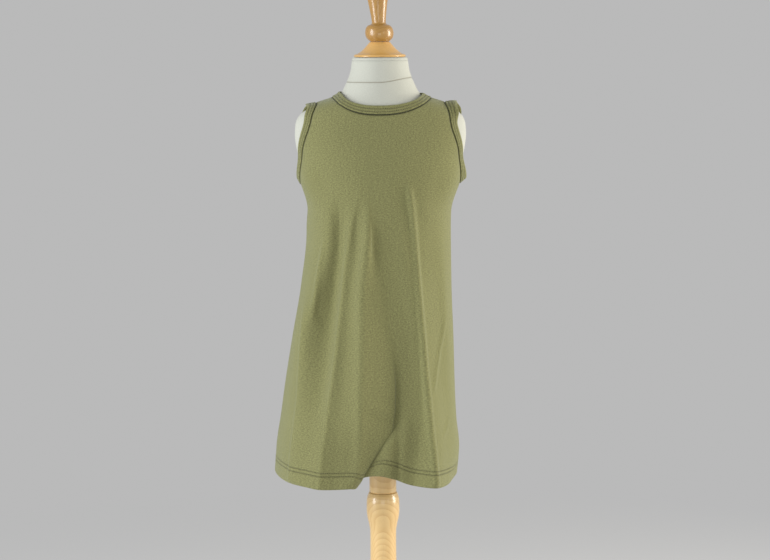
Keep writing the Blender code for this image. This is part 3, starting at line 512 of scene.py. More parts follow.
def neckline(turn, forward):
    """The neck seam: turn runs from 0 at the wearer's right shoulder to pi at the left one."""
    low = NECK_FRONT if forward else NECK_BACK
    side = NECK_SIDE + NECK_LEAN * np.cos(turn)
    sideways = -FORM_AT(side)[:, 0] * np.cos(turn)
    height = low + (side - low) * np.abs(np.cos(turn)) ** NECK_CURVE
    depth = form_depth(sideways, height, forward)
    facing = FRONT if forward else BACK
    return dressed(np.stack([sideways, facing * depth, height], axis=1))


def chest_points(folds, facing, height):
    """Where the fold lines cross the chest at a height: the middle of cloth without ease."""
    waist = np.array([line.across[0] for line in folds]) * MM
    widest = np.where(waist < 0, -waist[0], waist[-1])
    heights = np.full(len(waist), height)
    sideways = waist / widest * FORM_AT(height)[0, 0]
    depth = form_depth(sideways, heights, facing < 0)
    return onto_form(np.stack([sideways, facing * depth, heights], axis=1), CLEARANCE)


def along_lines(folds, facing):
    """Place of every fold line, as a function of the share of the way from underarm to hem."""
    small = 2 * MM
    top = chest_points(folds, facing, UNDERARM)
    below = chest_points(folds, facing, UNDERARM - small)
    hems = np.array([line.hem for line in folds]) * MM
    leaving = (below - top) * (UNDERARM - hems[:, None]) / small
    places = []
    for number, line in enumerate(folds):
        stops = [top[number]]
        for station, across, depth in zip(STATIONS[1:], line.across, line.depth):
            height = UNDERARM + (hems[number] - UNDERARM) * station
            stops.append([across * MM, facing * depth * MM, height])
        places.append(stops)
    rows = np.transpose(np.array(places), (1, 0, 2)).reshape(len(STATIONS), -1)
    curve = steady_curve(STATIONS, rows, leaving.reshape(-1))
    return lambda share: curve(share).reshape(-1, 3)


def eased(points):
    """The same points of the skirt, moved out where the cloth stands away under an arm."""
    out = form_normals(points)
    return points + out * (of_arm(points, "ease") * underarm_weight(points))[:, None]


def across_lines(points, folds, facing, finer):
    """One row of the cloth: a smooth curve through the fold lines' points, straight on at both side seams."""
    chord = np.sqrt(np.linalg.norm(np.diff(points, axis=0), axis=1))[:, None]
    run = np.diff(points, axis=0) / chord
    slope = np.empty_like(points)
    slope[1:-1] = (run[:-1] * chord[1:] + run[1:] * chord[:-1]) / (chord[1:] + chord[:-1])
    straight_on = np.array([0.0, facing, 0.0])
    slope[0] = straight_on * np.linalg.norm(run[0])
    slope[-1] = -straight_on * np.linalg.norm(run[-1])
    row = []
    for number, line in enumerate(folds[:-1]):
        t = (np.arange(line.columns * finer) / (line.columns * finer))[:, None]
        leaving, arriving = chord[number] * slope[number : number + 2]
        row.append(hermite(t, points[number], points[number + 1], leaving, arriving))
    row.append(points[-1:])
    return np.concatenate(row)


def clear_of_form(points):
    """The same points, pushed level away from the form where they lie closer than the cloth may."""
    half_width, front, back, power = FORM_AT(points[:, 2]).T
    depth = np.where(points[:, 1] < 0, front, back)
    level = (np.abs(points[:, 0]) / (half_width + CLEARANCE)) ** power
    level += (np.abs(points[:, 1]) / (depth + CLEARANCE)) ** power
    beside = points[:, 2] > FORM_BOTTOM - CLEARANCE
    push = np.where(beside, np.maximum(1, level ** (-1 / power)), 1)
    moved = points.copy()
    moved[:, :2] *= push[:, None]
    return moved


def row_shares():
    """Shares of the way from underarm to hem for the rows of the skirt, close together at the hem."""
    length = UNDERARM - HEM_LEVEL
    above_hem = length - HEM_HEIGHTS[-1] * MM
    count = round(above_hem / LOWER_STEP)
    rows = [above_hem / length * number / count for number in range(count)]
    return rows + [1 - height * MM / length for height in HEM_HEIGHTS[::-1]]


def keep_inside(grid, edge, beside, inwards):
    """Moves the column beside an armhole's edge inwards wherever it is too near to it."""
    space = (grid[FREE_ROWS, beside] - grid[FREE_ROWS, edge]) * inwards[FREE_ROWS]
    short = np.maximum(EDGE_MARGIN - np.sum(space, axis=1), 0)
    grid[FREE_ROWS, beside] += inwards[FREE_ROWS] * short[:, None]


def spread(grid):
    """The same grid with its inner points spread evenly between its edges, over the form."""
    grid = grid.copy()
    sides = []
    for edge, beside in ((0, 1), (-1, -2)):
        line = grid[:, edge]
        inwards = unit(np.cross(resting_normals(line), np.gradient(line, axis=0)))
        middle = grid[:, grid.shape[1] // 2]
        towards = np.sum(inwards * (middle - line))
        sides.append((edge, beside, inwards * np.sign(towards)))
    for _ in range(SPREAD_STEPS):
        inner = (grid[:-2, 1:-1] + grid[2:, 1:-1] + grid[1:-1, :-2] + grid[1:-1, 2:]) / 4
        grid[1:-1, 1:-1] = dressed(inner.reshape(-1, 3), steps=2).reshape(inner.shape)
        for edge, beside, inwards in sides:
            keep_inside(grid, edge, beside, inwards)
    return grid


def upper_rows(bottom, facing):
    """Rows from the underarm up to the shoulder seams and neckline, lying on the form."""
    forward = facing < 0
    count = len(bottom)
    sideways = bottom[:, 0]
    width = np.where(sideways < 0, -sideways[0], sideways[-1])
    share = sideways / width
    right_corner = int(np.argmin(np.abs(share + SHOULDER_SHARE)))
    left_corner = int(np.argmin(np.abs(share - SHOULDER_SHARE)))
    tips = [armhole(np.array([math.pi]), side, forward)[0] for side in (-1, 1)]
    top = np.empty_like(bottom)
    dense = np.linspace(0, math.pi, EDGE_PLACES)
    top[right_corner : left_corner + 1] = evenly(neckline(dense, forward), left_corner - right_corner + 1)
    for corner, end, tip in ((right_corner, 0, tips[0]), (left_corner, count - 1, tips[1])):
        way = (share[min(corner, end) : max(corner, end) + 1] - share[corner]) / (share[end] - share[corner])
        seam = top[corner] + (tip - top[corner]) * way[:, None]
        top[min(corner, end) : max(corner, end) + 1] = dressed(seam)
    turns = (1 - np.cos(dense)) * math.pi / 2
    edges = [evenly(armhole(turns, side, forward), UPPER_ROWS + 1) for side in (-1, 1)]
    edges[0][0] = bottom[0]
    edges[1][0] = bottom[-1]
    edges[0][-1] = top[0]
    edges[1][-1] = top[-1]
    across = np.linspace(0, 1, count)[:, None]
    rows = [bottom]
    for number in range(1, UPPER_ROWS + 1):
        up = number / UPPER_ROWS
        between = bottom * (1 - up) + top * up
        ends = edges[0][number] * (1 - across) + edges[1][number] * across
        corners = (bottom[0] * (1 - up) + top[0] * up) * (1 - across)
        corners = corners + (bottom[-1] * (1 - up) + top[-1] * up) * across
        row = dressed(between + ends - corners)
        row[0] = edges[0][number]
        row[-1] = edges[1][number]
        rows.append(row)
    rows[-1] = top
    return spread(np.array(rows)), right_corner, left_corner


def finer_along(grid, axis, breaks=()):
    """The same grid with FINER times the points along an axis, on smooth curves that may bend at breaks."""
    grid = np.moveaxis(grid, axis, 0)
    slope = np.gradient(grid, axis=0)
    ahead = slope.copy()
    behind = slope.copy()
    for corner in breaks:
        ahead[corner] = grid[corner + 1] - grid[corner]
        behind[corner] = grid[corner] - grid[corner - 1]
    parts = []
    for t in np.arange(FINER) / FINER:
        parts.append(hermite(t, grid[:-1], grid[1:], ahead[:-1], behind[1:]))
    fine = np.stack(parts, axis=1).reshape(-1, *grid.shape[1:])
    return np.moveaxis(np.concatenate([fine, grid[-1:]]), 0, axis)


def fine_chest(bottom, skirt_top, facing):
    """The chest drawn finely: the solids' rows and columns, filled in between and laid on the form."""
    coarse, right_corner, left_corner = upper_rows(bottom, facing)
    smooth = finer_along(coarse, 1)
    broken = finer_along(coarse, 1, (right_corner, left_corner))
    up = np.linspace(0, 1, len(coarse))[:, None, None]
    rows = finer_along(smooth + (broken - smooth) * ramp(up, *CORNER_RANGE), 0)
    shape = rows.shape
    rows = dressed(rows.reshape(-1, 3), steps=5).reshape(shape)
    fade = 1 - ramp(np.arange(len(rows)), 0, MEETING_ROWS)
    rows = rows + (skirt_top - rows[0]) * fade[:, None, None]
    return rows[1:], right_corner * FINER, left_corner * FINER


def panel_grid(folds, facing):
    """Middle of a panel's cloth as rows from hem to shoulder, and the columns where the neckline ends."""
    place = along_lines(folds, facing)
    tops = []
    for finer in (1, FINER):
        start = across_lines(place(0), folds, facing, finer)
        settle = onto_form(start, CLEARANCE) - start
        tops.append(eased(clear_of_form(start + settle)))
    skirt = []
    for share in row_shares():
        row = across_lines(place(share), folds, facing, FINER) + settle * (1 - ramp(share, 0, SETTLE_SHARE))
        skirt.append(eased(clear_of_form(row)))
    above, right_corner, left_corner = fine_chest(tops[0], tops[1], facing)
    return np.concatenate([skirt[::-1], above]), right_corner, left_corner


def grid_normals(grid, facing):
    """Outward direction at every point of a panel: the form's own where the cloth lies on it."""
    along = np.gradient(grid, axis=1)
    up = np.gradient(grid, axis=0)
    normals = unit(np.cross(along, up)) * -facing
    upper = grid[-UPPER_ROWS * FINER :]
    on_form = resting_normals(upper.reshape(-1, 3)).reshape(upper.shape)
    weight = ramp(np.arange(len(upper)), 0, NORMAL_ROWS)[:, None, None]
    normals[-UPPER_ROWS * FINER :] = unit(normals[-UPPER_ROWS * FINER :] * (1 - weight) + on_form * weight)
    return normals


def share_seam(fronts, backs, where):
    """Puts two panels' edges a seam's gap apart, with one direction of thickness for both."""
    front, front_normals = fronts
    back, back_normals = backs
    middle = (front[where] + back[where]) / 2
    normal = unit(front_normals[where] + back_normals[where])
    front[where] = middle + np.array([0, -SEAM_GAP / 2, 0])
    back[where] = middle + np.array([0, SEAM_GAP / 2, 0])
    front_normals[where] = normal
    back_normals[where] = normal


def crease_relief(grid, creases, dents):
    """Height of the ridges and troughs at every point of a panel."""
    relief = np.zeros(grid.shape[:2])
    across = lengths(grid, 1)
    heights = grid[..., 2]
    for crease in creases:
        line = np.array(crease.line, float)[::-1] * MM
        place = steady_curve(line[:, 0], line[:, 1])(heights.ravel()).reshape(heights.shape)
        aside = grid[..., 0] - place
        crossing = np.argmax((aside[:, :-1] < 0) & (aside[:, 1:] >= 0), axis=1)
        rows = np.arange(len(grid))
        before = -aside[rows, crossing]
        share = before / np.maximum(before + aside[rows, crossing + 1], NARROWEST)
        step = across[rows, crossing + 1] - across[rows, crossing]
        middle = across[rows, crossing] + step * np.clip(share, 0, 1)
        away = across - middle[:, None]
        width = np.where(away < 0, crease.right, crease.left) * MM
        top = crease.line[0][0] * MM
        bottom = crease.line[-1][0] * MM
        weight = ramp(heights, top, top - crease.fade_top * MM)
        weight = weight * ramp(heights, bottom - CREASE_END, bottom + crease.fade_bottom * MM)
        relief += crease.height * MM * bell(away, width) * weight
    for dent in dents:
        first = np.array(dent.first) * MM
        second = np.array(dent.second) * MM
        run = second - first
        from_first = np.stack([heights, grid[..., 0]], axis=2) - first
        share = np.clip(from_first @ run / (run @ run), 0, 1)
        distance = np.linalg.norm(from_first - share[..., None] * run, axis=2)
        fade = np.sin(share * math.pi) ** 0.5
        relief += dent.height * MM * bell(distance, dent.width * MM) * fade
    return relief


def lengths(grid, axis):
    """Distance along the cloth from the first row or column, at every point."""
    steps = np.linalg.norm(np.diff(grid, axis=axis), axis=2)
    start = np.zeros_like(np.take(steps, [0], axis=axis))
    return np.concatenate([start, np.cumsum(steps, axis=axis)], axis=axis)


def cloth_places(grid):
    """Place of every point in the flat cloth: across from the middle column, and up from the hem."""
    across = lengths(grid, 1)
    across = across - across[:, across.shape[1] // 2 :][:, :1]
    return np.stack([across, lengths(grid, 0)], axis=2)


def object_from(name, verts, faces, material, places=None, dark=None):
    """A smooth mesh object, with the cloth's flat coordinates and the shade painted into its seams and
    grooves where given.
    """
    mesh = bpy.data.meshes.new(name)
    mesh.from_pydata(np.asarray(verts).tolist(), [], faces)
    mesh.update()
    if places is not None:
        corners = np.empty(len(mesh.loops), np.int32)
        mesh.loops.foreach_get("vertex_index", corners)
        layer = mesh.uv_layers.new(name="cloth")
        layer.data.foreach_set("uv", np.asarray(places, np.float32)[corners].ravel())
    if dark is not None:
        attribute = mesh.attributes.new("dark", "FLOAT", "POINT")
        attribute.data.foreach_set("value", np.asarray(dark, np.float32))
    mesh.materials.append(material)
    mesh.shade_smooth()
    obj = bpy.data.objects.new(name, mesh)
    bpy.context.scene.collection.objects.link(obj)
    return obj


def facing_out(verts, faces):
    """The faces of a closed body, all turned over if they face inwards."""
    corners = verts[faces]
    volume = np.linalg.det(corners[:, (0, 1, 2)]).sum() + np.linalg.det(corners[:, (0, 2, 3)]).sum()
    return faces if volume > 0 else faces[:, ::-1]


def wall(name, outside, inside, material, places, dark, closed=False):
    """A closed wall between two grids of rows by columns, which may close on itself along the rows."""
    rows, columns = outside.shape[:2]
    verts = np.concatenate([outside.reshape(-1, 3), inside.reshape(-1, 3)])
    below = rows * columns
    last = rows if closed else rows - 1
    row = np.arange(last)[:, None]
    following = (row + 1) % rows
    column = np.arange(columns - 1)[None, :]
    a = row * columns + column
    d = following * columns + column
    skin = np.stack([a, a + 1, d + 1, d], axis=2).reshape(-1, 4)
    lining = skin[:, ::-1] + below
    faces = [skin, lining]
    for side in (0, columns - 1):
        a = (row * columns + side).ravel()
        d = (following * columns + side).ravel()
        rim = np.stack([a, d, d + below, a + below], axis=1)
        faces.append(rim if side == 0 else rim[:, ::-1])
    if not closed:
        for level in (0, rows - 1):
            a = (level * columns + column).ravel()
            rim = np.stack([a, a + below, a + below + 1, a + 1], axis=1)
            faces.append(rim if level == 0 else rim[:, ::-1])
    faces = facing_out(verts, np.concatenate(faces)).tolist()
    both = np.concatenate([places.reshape(-1, 2)] * 2)
    # Painted shade of the seams and grooves, the same on both faces
    shade = np.concatenate([dark.ravel()] * 2)
    return object_from(name, verts, faces, material, both, shade)


def panel(name, grid, normals, relief, material):
    """A dress panel with its hem turned up inside, and its outer surface."""
    heights = lengths(grid, 0)
    across = lengths(grid, 1)
    in_hem = 1 - ramp(heights, HEM_ROWS[1], HEM_ROWS[1] + HEM_FADE)
    fold = 1 - np.clip(heights / HEM_FOLD, 0, 1)
    outer = CLOTH / 2 + HEM_SWELL * in_hem - FOLD_OUTER * fold**2
    inner = CLOTH / 2 + HEM_LAYER * in_hem - FOLD_INNER * fold**2
    marks = [(HEM_GROOVE, heights - height) for height in HEM_ROWS]
    marks += [(SIDE_GROOVE, across - across[:, [side]]) for side in (0, -1)]
    marks.append((EDGE_GROOVE, lengths(grid[::-1], 0)[::-1]))
    # Painted shade: the hem's stitch grooves, the side seams and the seam at the top edge are darkened in
    # colour as well as sunk.
    dark = np.zeros(grid.shape[:2])
    for groove, distance in marks:
        shape = bell(distance, groove.width)
        outer = outer - groove.depth * shape
        dark = np.maximum(dark, groove.dark * shape)
    middle = grid + normals * relief[..., None]
    outside = middle + normals * outer[..., None]
    inside = middle - normals * inner[..., None]
    obj = wall(name, outside, inside, material, cloth_places(grid), dark)
    return obj, outside


def stands_away(points):
    """How far an armhole binding's free edge stands away from the form, under the arm and on the shoulder."""
    low = of_arm(points, "flare") * underarm_weight(points)
    return low + of_arm(points, "lift") * ramp(points[:, 2], *LIFT_HEIGHTS)


def band_grid(edge, normals, away, width, arm):
    """Middle of a binding as a closed strip: columns step from the panels' edge into the opening."""
    coarse = slice(None, None, FINER)
    step = (width - BAND_GAP) / COARSE_STEPS
    heading = unit(away[coarse])
    place = edge[coarse] + heading * BAND_GAP
    columns = [place + normals[coarse] * BAND_RAISE]
    for number in range(1, COARSE_STEPS + 1):
        ahead = place + heading * step
        distance = cloth_distance(ahead) + BAND_RAISE
        if arm:
            distance = distance + stands_away(ahead) * number / COARSE_STEPS
        place = onto_form(ahead, distance)
        heading = unit(place - columns[-1])
        columns.append(place)
    grid = np.stack(columns, axis=1)
    joined = np.concatenate([grid[-OVERLAP:], grid, grid[: OVERLAP + 1]])
    along = finer_along(joined, 0)[OVERLAP * FINER : -OVERLAP * FINER - 1]
    across = np.stack([steady_spacing(line) for line in along])
    start = edge + unit(away) * BAND_GAP + normals * BAND_RAISE
    fade = 1 - ramp(np.arange(BAND_STEPS + 1), 0, BAND_STEPS / 2)
    return across + (start - across[:, 0])[:, None, :] * fade[None, :, None]


def steady_spacing(line):
    """A smooth line of BAND_STEPS steps through a few points."""
    return steady_curve(np.arange(len(line)), line)(np.linspace(0, len(line) - 1, BAND_STEPS + 1))


def binding(name, edge, normals, away, width, material, arm=False):
    """A folded band round an opening, with two stitch grooves, and shade painted along them and along its
    seam. Returns it and its outer surface.
    """
    grid = band_grid(edge, normals, away, width, arm)
    along = np.roll(grid, -1, axis=0) - np.roll(grid, 1, axis=0)
    across = np.gradient(grid, axis=1)
    out = unit(np.cross(across, along))
    if np.sum(out[:, 0] * normals) < 0:
        out = -out
    out[:, 0] = normals
    places = np.linspace(0, NECK_PROFILE[-1][0], BAND_STEPS + 1)
    profile = steady_curve(*zip(*NECK_PROFILE))(places)[:, 0] * MM
    plain = np.interp(places, *zip(*BAND_BACK)) * MM
    # Painted shade: the seam with the panel and the two stitch rows are darkened in colour.
    dark = bell(places, BAND_SEAM_SHADE_WIDTH)
    for row in NECK_STITCH_ROWS:
        dark = np.maximum(dark, BAND_STITCH_SHADE * bell(places - row / MM, BAND_STITCH_SHADE_WIDTH))
    outside = grid + out * profile[None, :, None]
    inside = grid - out * plain[None, :, None]
    flat = np.stack(np.broadcast_arrays(distances(grid[:, 0])[:, None], places[None, :] * MM), axis=2)
    obj = wall(name, outside, inside, material, flat, np.broadcast_to(dark, grid.shape[:2]), closed=True)
    return obj, outside, out


def edge_loops(fronts, backs, ahead, behind):
    """Closed loops of an opening's points and normals: along the front's edge, then back along the back's."""
    return [np.concatenate([front[ahead], back[behind][::-1]]) for front, back in zip(fronts, backs)]


def away_from_panel(loop, normals, middle):
    """Direction in the cloth's surface that leads from a panel's edge into the opening round middle."""
    along = np.roll(loop, -1, axis=0) - np.roll(loop, 1, axis=0)
    aside = unit(np.cross(normals, along))
    inwards = np.sum(aside * (middle - loop), axis=1)
    return aside if np.sum(inwards) > 0 else -aside


def ring_faces(rings, sides):
    """Faces between rings of points, each ring with as many sides."""
    ring = np.arange(rings - 1)[:, None] * sides
    side = np.arange(sides)[None, :]
    a = ring + side
    b = ring + (side + 1) % sides
    return np.stack([a, b, b + sides, a + sides], axis=2).reshape(-1, 4)


def closed_rings(grid):
    """Points and faces of a stack of level rings, closed at both ends round a point on the centre line."""
    rings, sides = grid.shape[:2]
    verts = np.concatenate([grid.reshape(-1, 3), [[0, 0, grid[0, 0, 2]], [0, 0, grid[-1, 0, 2]]]])
    last = (rings - 1) * sides
    faces = ring_faces(rings, sides).tolist()
    for number in range(sides):
        following = (number + 1) % sides
        faces.append((following, number, len(verts) - 2))
        faces.append((last + number, last + following, len(verts) - 1))
    return verts, faces


def stitches(name, rows, material):
    """One joined mesh of short raised threads along rows, each given as points, normals and closed or not."""
    turns = np.arange(STITCH_SIDES) * 2 * math.pi / STITCH_SIDES
    local = []
    for along, width in STITCH_RINGS:
        for turn in turns:
            local.append((along * STITCH_LENGTH, width * math.cos(turn), width * math.sin(turn)))
    local = np.array(local)
    local[:, 1:] *= STITCH_RADIUS
    template = ring_faces(len(STITCH_RINGS), STITCH_SIDES)
    verts = []
    faces = []
    count = 0
    for points, normals, closed in rows:
        if closed:
            points = np.concatenate([points, points[:1]])
            normals = np.concatenate([normals, normals[:1]])
        run = distances(points)
        number = int(run[-1] / STITCH_PITCH)
        spots = (np.arange(number) + 0.5) * run[-1] / number
        centre = on_line(spots, run, points)
        out = unit(on_line(spots, run, normals))
        ahead = on_line(spots + STITCH_LOOK, run, points)
        behind = on_line(spots - STITCH_LOOK, run, points)
        tangent = unit(ahead - behind)
        side = unit(np.cross(out, tangent))
        for middle, t, s, n in zip(centre, tangent, side, out):
            verts.append(middle + local @ np.array([t, s, n]))
            faces.append(template + count)
            count += len(local)
    return object_from(name, np.concatenate(verts), np.concatenate(faces).tolist(), material)


def path_at(outside, grid, height):
    """A panel's outer surface at a distance above the hem's edge, as a line of points."""
    heights = lengths(grid, 0)
    line = []
    for column in range(grid.shape[1]):
        line.append([np.interp(height, heights[:, column], outside[:, column, axis]) for axis in range(3)])
    return np.array(line)


def dress(cotton, thread):
    """The dress's pieces: two panels, three bindings and all stitches."""
    front, front_right, front_left = panel_grid(FRONT_FOLDS, FRONT)
    back, back_right, back_left = panel_grid(BACK_FOLDS, BACK)
    front_normals = grid_normals(front, FRONT)
    back_normals = grid_normals(back, BACK)
    fronts = (front, front_normals)
    backs = (back, back_normals)
    upper = UPPER_ROWS * FINER
    for column in (0, -1):
        share_seam(fronts, backs, (slice(0, -upper), column))
    pieces = {}
    relief = crease_relief(front, FRONT_CREASES, FRONT_DENTS)
    pieces["front"], front_face = panel("dress_front", *fronts, relief, cotton)
    relief = crease_relief(back, BACK_CREASES, BACK_DENTS)
    pieces["back"], back_face = panel("dress_back", *backs, relief, cotton)
    ahead = (-1, slice(front_right, front_left + 1))
    behind = (-1, slice(back_right + 1, back_left))
    edge, normals = edge_loops(fronts, backs, ahead, behind)
    away = away_from_panel(edge, normals, np.array([0, 0, NECK_MIDDLE]))
    pieces["neck"], face, out = binding("neck_band", edge, normals, away, NECK_BAND, cotton)
    rows = band_rows(face, out)
    for name, column, side in (("right", 0, -1), ("left", -1, 1)):
        ahead = (slice(-upper - 1, None), column)
        behind = (slice(-upper, -1), column)
        edge, normals = edge_loops(fronts, backs, ahead, behind)
        middle = np.array([side * ARM_MIDDLE, 0, (UNDERARM + SHOULDER_TIP) / 2])
        away = away_from_panel(edge, normals, middle)
        pieces[name], face, out = binding(f"{name}_arm_band", edge, normals, away, ARM_BAND, cotton, arm=True)
        rows += band_rows(face, out)
    for height in HEM_ROWS:
        for face, grid, normals in ((front_face, *fronts), (back_face, *backs)):
            line = path_at(face, grid, height)
            line_normals = normals[int(np.argmin(np.abs(lengths(grid, 0)[:, 0] - height)))]
            rows.append((line, line_normals, False))
    pieces["stitches"] = stitches("stitching", rows, thread)
    return pieces


def band_rows(face, out):
    """The two stitch rows of a binding."""
    rows = []
    for place in NECK_STITCH_ROWS:
        column = round(place / (NECK_PROFILE[-1][0] * MM) * BAND_STEPS)
        rows.append((face[:, column], out[:, column], True))
    return rows


def canvas_form(material):
    """The limbless torso, shoulder caps and neck, with the seam round the neck."""
    bottom = FORM[0].height * MM
    top = FORM[-1].height * MM
    low_seam, high_seam = NECK_SEAM
    stops = [bottom, bottom + UNDERSIDE, low_seam - SEAM_BELOW, high_seam + SEAM_ABOVE, top - TOP_EDGE]
    stretches = [np.arange(*stretch) for stretch in zip(stops, stops[1:], FORM_STEPS)]
    heights = np.concatenate(stretches + [np.linspace(stops[-1], top, TOP_RINGS)])
    turns = np.arange(FORM_SIDES) * 2 * math.pi / FORM_SIDES
    half_width, front, back, power = (value[:, None] for value in FORM_AT(heights).T)
    cosine = np.cos(turns)[None, :]
    sine = np.sin(turns)[None, :]
    across = half_width * np.sign(cosine) * np.abs(cosine) ** (2 / power)
    reach = np.where(sine > 0, back, front)
    deep = reach * np.sign(sine) * np.abs(sine) ** (2 / power)
    grid = np.stack(np.broadcast_arrays(across, deep, heights[:, None]), axis=2)
    seam = low_seam + (high_seam - low_seam) * ramp(across, 0, NECK_WIDTH)
    from_seam = grid[..., 2] - seam
    groove = bell(from_seam, FORM_GROOVE.width)
    above, width, rise = SEAM_RIDGE
    ridge = bell(from_seam - above, width)
    normals = form_normals(grid.reshape(-1, 3)).reshape(grid.shape)
    grid = grid + normals * (rise * ridge - FORM_GROOVE.depth * groove)[..., None]
    verts, faces = closed_rings(grid)
    places = np.stack(np.broadcast_arrays(turns[None, :] * CANVAS_RADIUS, grid[..., 2]), axis=2)
    places = np.concatenate([places.reshape(-1, 2), [[0, bottom], [0, top]]])
    # Painted shade: the neck seam's groove is darkened in colour as well as sunk.
    dark = np.concatenate([(FORM_GROOVE.dark * groove).ravel(), [0, 0]])
    return object_from("canvas_form", verts, faces, material, places, dark)


def turned(name, outline, material, lean=0.0):
    """A piece turned on a lathe, drawn on a smooth curve through its outline of radius and height."""
    points = np.array(outline[1:-1], float) * MM
    run = distances(points)
    curve = steady_curve(run, points)
    stops = [run[:1]]
    for start, end in zip(run, run[1:]):
        stops.append(np.linspace(start, end, max(2, round((end - start) / TURNED_STEP)) + 1)[1:])
    profile = curve(np.concatenate(stops))
    turns = np.arange(TURNED_SIDES) * 2 * math.pi / TURNED_SIDES
    grid = np.stack([
        profile[:, :1] * np.cos(turns),
        profile[:, :1] * np.sin(turns),
        np.repeat(profile[:, 1:], TURNED_SIDES, axis=1),
    ], axis=2)
    verts, faces = closed_rings(grid)
    verts[:, 0] -= lean * (verts[:, 2] - outline[0][1] * MM)
    return object_from(name, verts, faces, material, round_and_up(verts))


def round_and_up(verts):
    """Flat coordinates of a turned piece: its turn, and its height."""
    return np.stack([np.arctan2(verts[:, 1], verts[:, 0]) * GRAIN_RADIUS, verts[:, 2]], axis=1)


class Graph:
    """A material's node tree, with short calls that add nodes and join them."""

    def __init__(self, name):
        self.material = bpy.data.materials.new(name)
        self.material.use_nodes = True
        self.tree = self.material.node_tree
        self.shader = self.tree.nodes["Principled BSDF"]

    def add(self, kind, inputs=(), **settings):
        node = self.tree.nodes.new(kind)
        for key, value in settings.items():
            setattr(node, key, value)
        for socket, value in dict(inputs).items():
            self.join(value, node.inputs[socket])
        return node

    def join(self, value, socket):
        if isinstance(value, bpy.types.NodeSocket):
            self.tree.links.new(value, socket)
        else:
            socket.default_value = value

    def maths(self, operation, first, second=0.0):
        return self.add("ShaderNodeMath", {0: first, 1: second}, operation=operation).outputs[0]

    def times(self, first, second):
        return self.maths("MULTIPLY", first, second)

    def plus(self, first, second):
        return self.maths("ADD", first, second)

    def mix(self, share, first, second):
        node = self.add("ShaderNodeMix", data_type="RGBA")
        self.join(share, node.inputs["Factor"])
        self.join(first, node.inputs[6])
        self.join(second, node.inputs[7])
        return node.outputs[2]

    def tinted(self, base, colour, amount, value, low, high):
        """base, with up to this amount of colour as value goes from low to high."""
        return self.mix(self.times(self.spread(value, low, high), amount), base, colour)

    def with_painted_shade(self, base, colour):
        """base, mixed towards colour as shade painted into the seams and grooves, as much as the mesh's
        painted shade attribute says.
        """
        seam = self.add("ShaderNodeAttribute", attribute_name="dark").outputs["Fac"]
        return self.mix(seam, base, colour)

    def noise(self, vector, scale, detail=2.0, roughness=0.5):
        inputs = {"Vector": vector, "Scale": scale, "Detail": detail, "Roughness": roughness}
        return self.add("ShaderNodeTexNoise", inputs).outputs[0]

    def spread(self, value, low, high):
        inputs = {"Value": value, "From Min": low, "From Max": high}
        return self.add("ShaderNodeMapRange", inputs).outputs[0]

    def scaled(self, vector, scale):
        return self.add("ShaderNodeMapping", {"Vector": vector, "Scale": scale}).outputs[0]

    def wave(self, value, pitch, shift=0.0):
        return self.maths("SINE", self.plus(self.times(value, 2 * math.pi / pitch), shift))

    def surface(self, base, grain, change, roughness):
        """Sets the base colour, and a roughness that changes with the grain."""
        self.join(base, self.shader.inputs["Base Color"])
        self.join(self.plus(self.times(grain, change), roughness), self.shader.inputs["Roughness"])

    def bump(self, height, strength, distance):
        inputs = {"Height": height, "Strength": strength, "Distance": distance}
        self.join(self.add("ShaderNodeBump", inputs).outputs[0], self.shader.inputs["Normal"])

    def set(self, **values):
        for name, value in values.items():
            self.shader.inputs[name.replace("_", " ")].default_value = value


def shade(colour, factor):
    """The colour, lighter or darker."""
    return (*(min(1.0, value * factor) for value in colour[:3]), 1)


def flat_cloth(graph):
    """The cloth's own flat coordinates, across and up, in metres."""
    place = graph.add("ShaderNodeUVMap", uv_map="cloth").outputs[0]
    parts = graph.add("ShaderNodeSeparateXYZ", {0: place})
    return place, parts.outputs[0], parts.outputs[1]


def jersey(name, colour, shade_and_texture_colour):
    """Fine cotton jersey: columns of small stitches, a faint heather and a soft fuzz."""
    graph = Graph(name)
    place, across, up = flat_cloth(graph)
    wales = graph.wave(across, WALE_PITCH)
    slant = graph.times(graph.maths("ABSOLUTE", wales), 1.3)
    courses = graph.wave(up, COURSE_PITCH, slant)
    stitch = graph.plus(graph.maths("ABSOLUTE", wales), graph.times(courses, 0.5))
    slub = graph.noise(graph.scaled(place, (1, 3.0, 1)), 260, detail=3.0, roughness=0.8)
    heather = graph.noise(graph.scaled(place, (1, 2.2, 1)), 520, detail=2.0, roughness=0.6)
    cloud = graph.noise(place, 14)
    light = shade(colour, 1.5)
    deep = shade(colour, 0.55)
    base = graph.mix(graph.spread(heather, 0.3, 0.7), deep, light)
    base = graph.tinted(base, light, 0.6, slub, 0.5, 0.68)
    base = graph.tinted(base, deep, 0.6, slub, 0.5, 0.32)
    base = graph.tinted(base, deep, 0.06, cloud, 0.35, 0.7)
    base = graph.tinted(base, shade_and_texture_colour, 0.16, stitch, 0.5, -0.4)
    # Painted shade: the seams and grooves go towards the dark colour.
    graph.surface(graph.with_painted_shade(base, shade_and_texture_colour), slub, change=0.12, roughness=0.82)
    graph.bump(graph.plus(stitch, graph.times(slub, 0.8)), strength=0.5, distance=0.12 * MM)
    graph.set(Sheen_Weight=0.25, Sheen_Roughness=0.45, Sheen_Tint=(0.93, 1.0, 0.9, 1))
    graph.set(Specular_IOR_Level=0.18)
    return graph.material


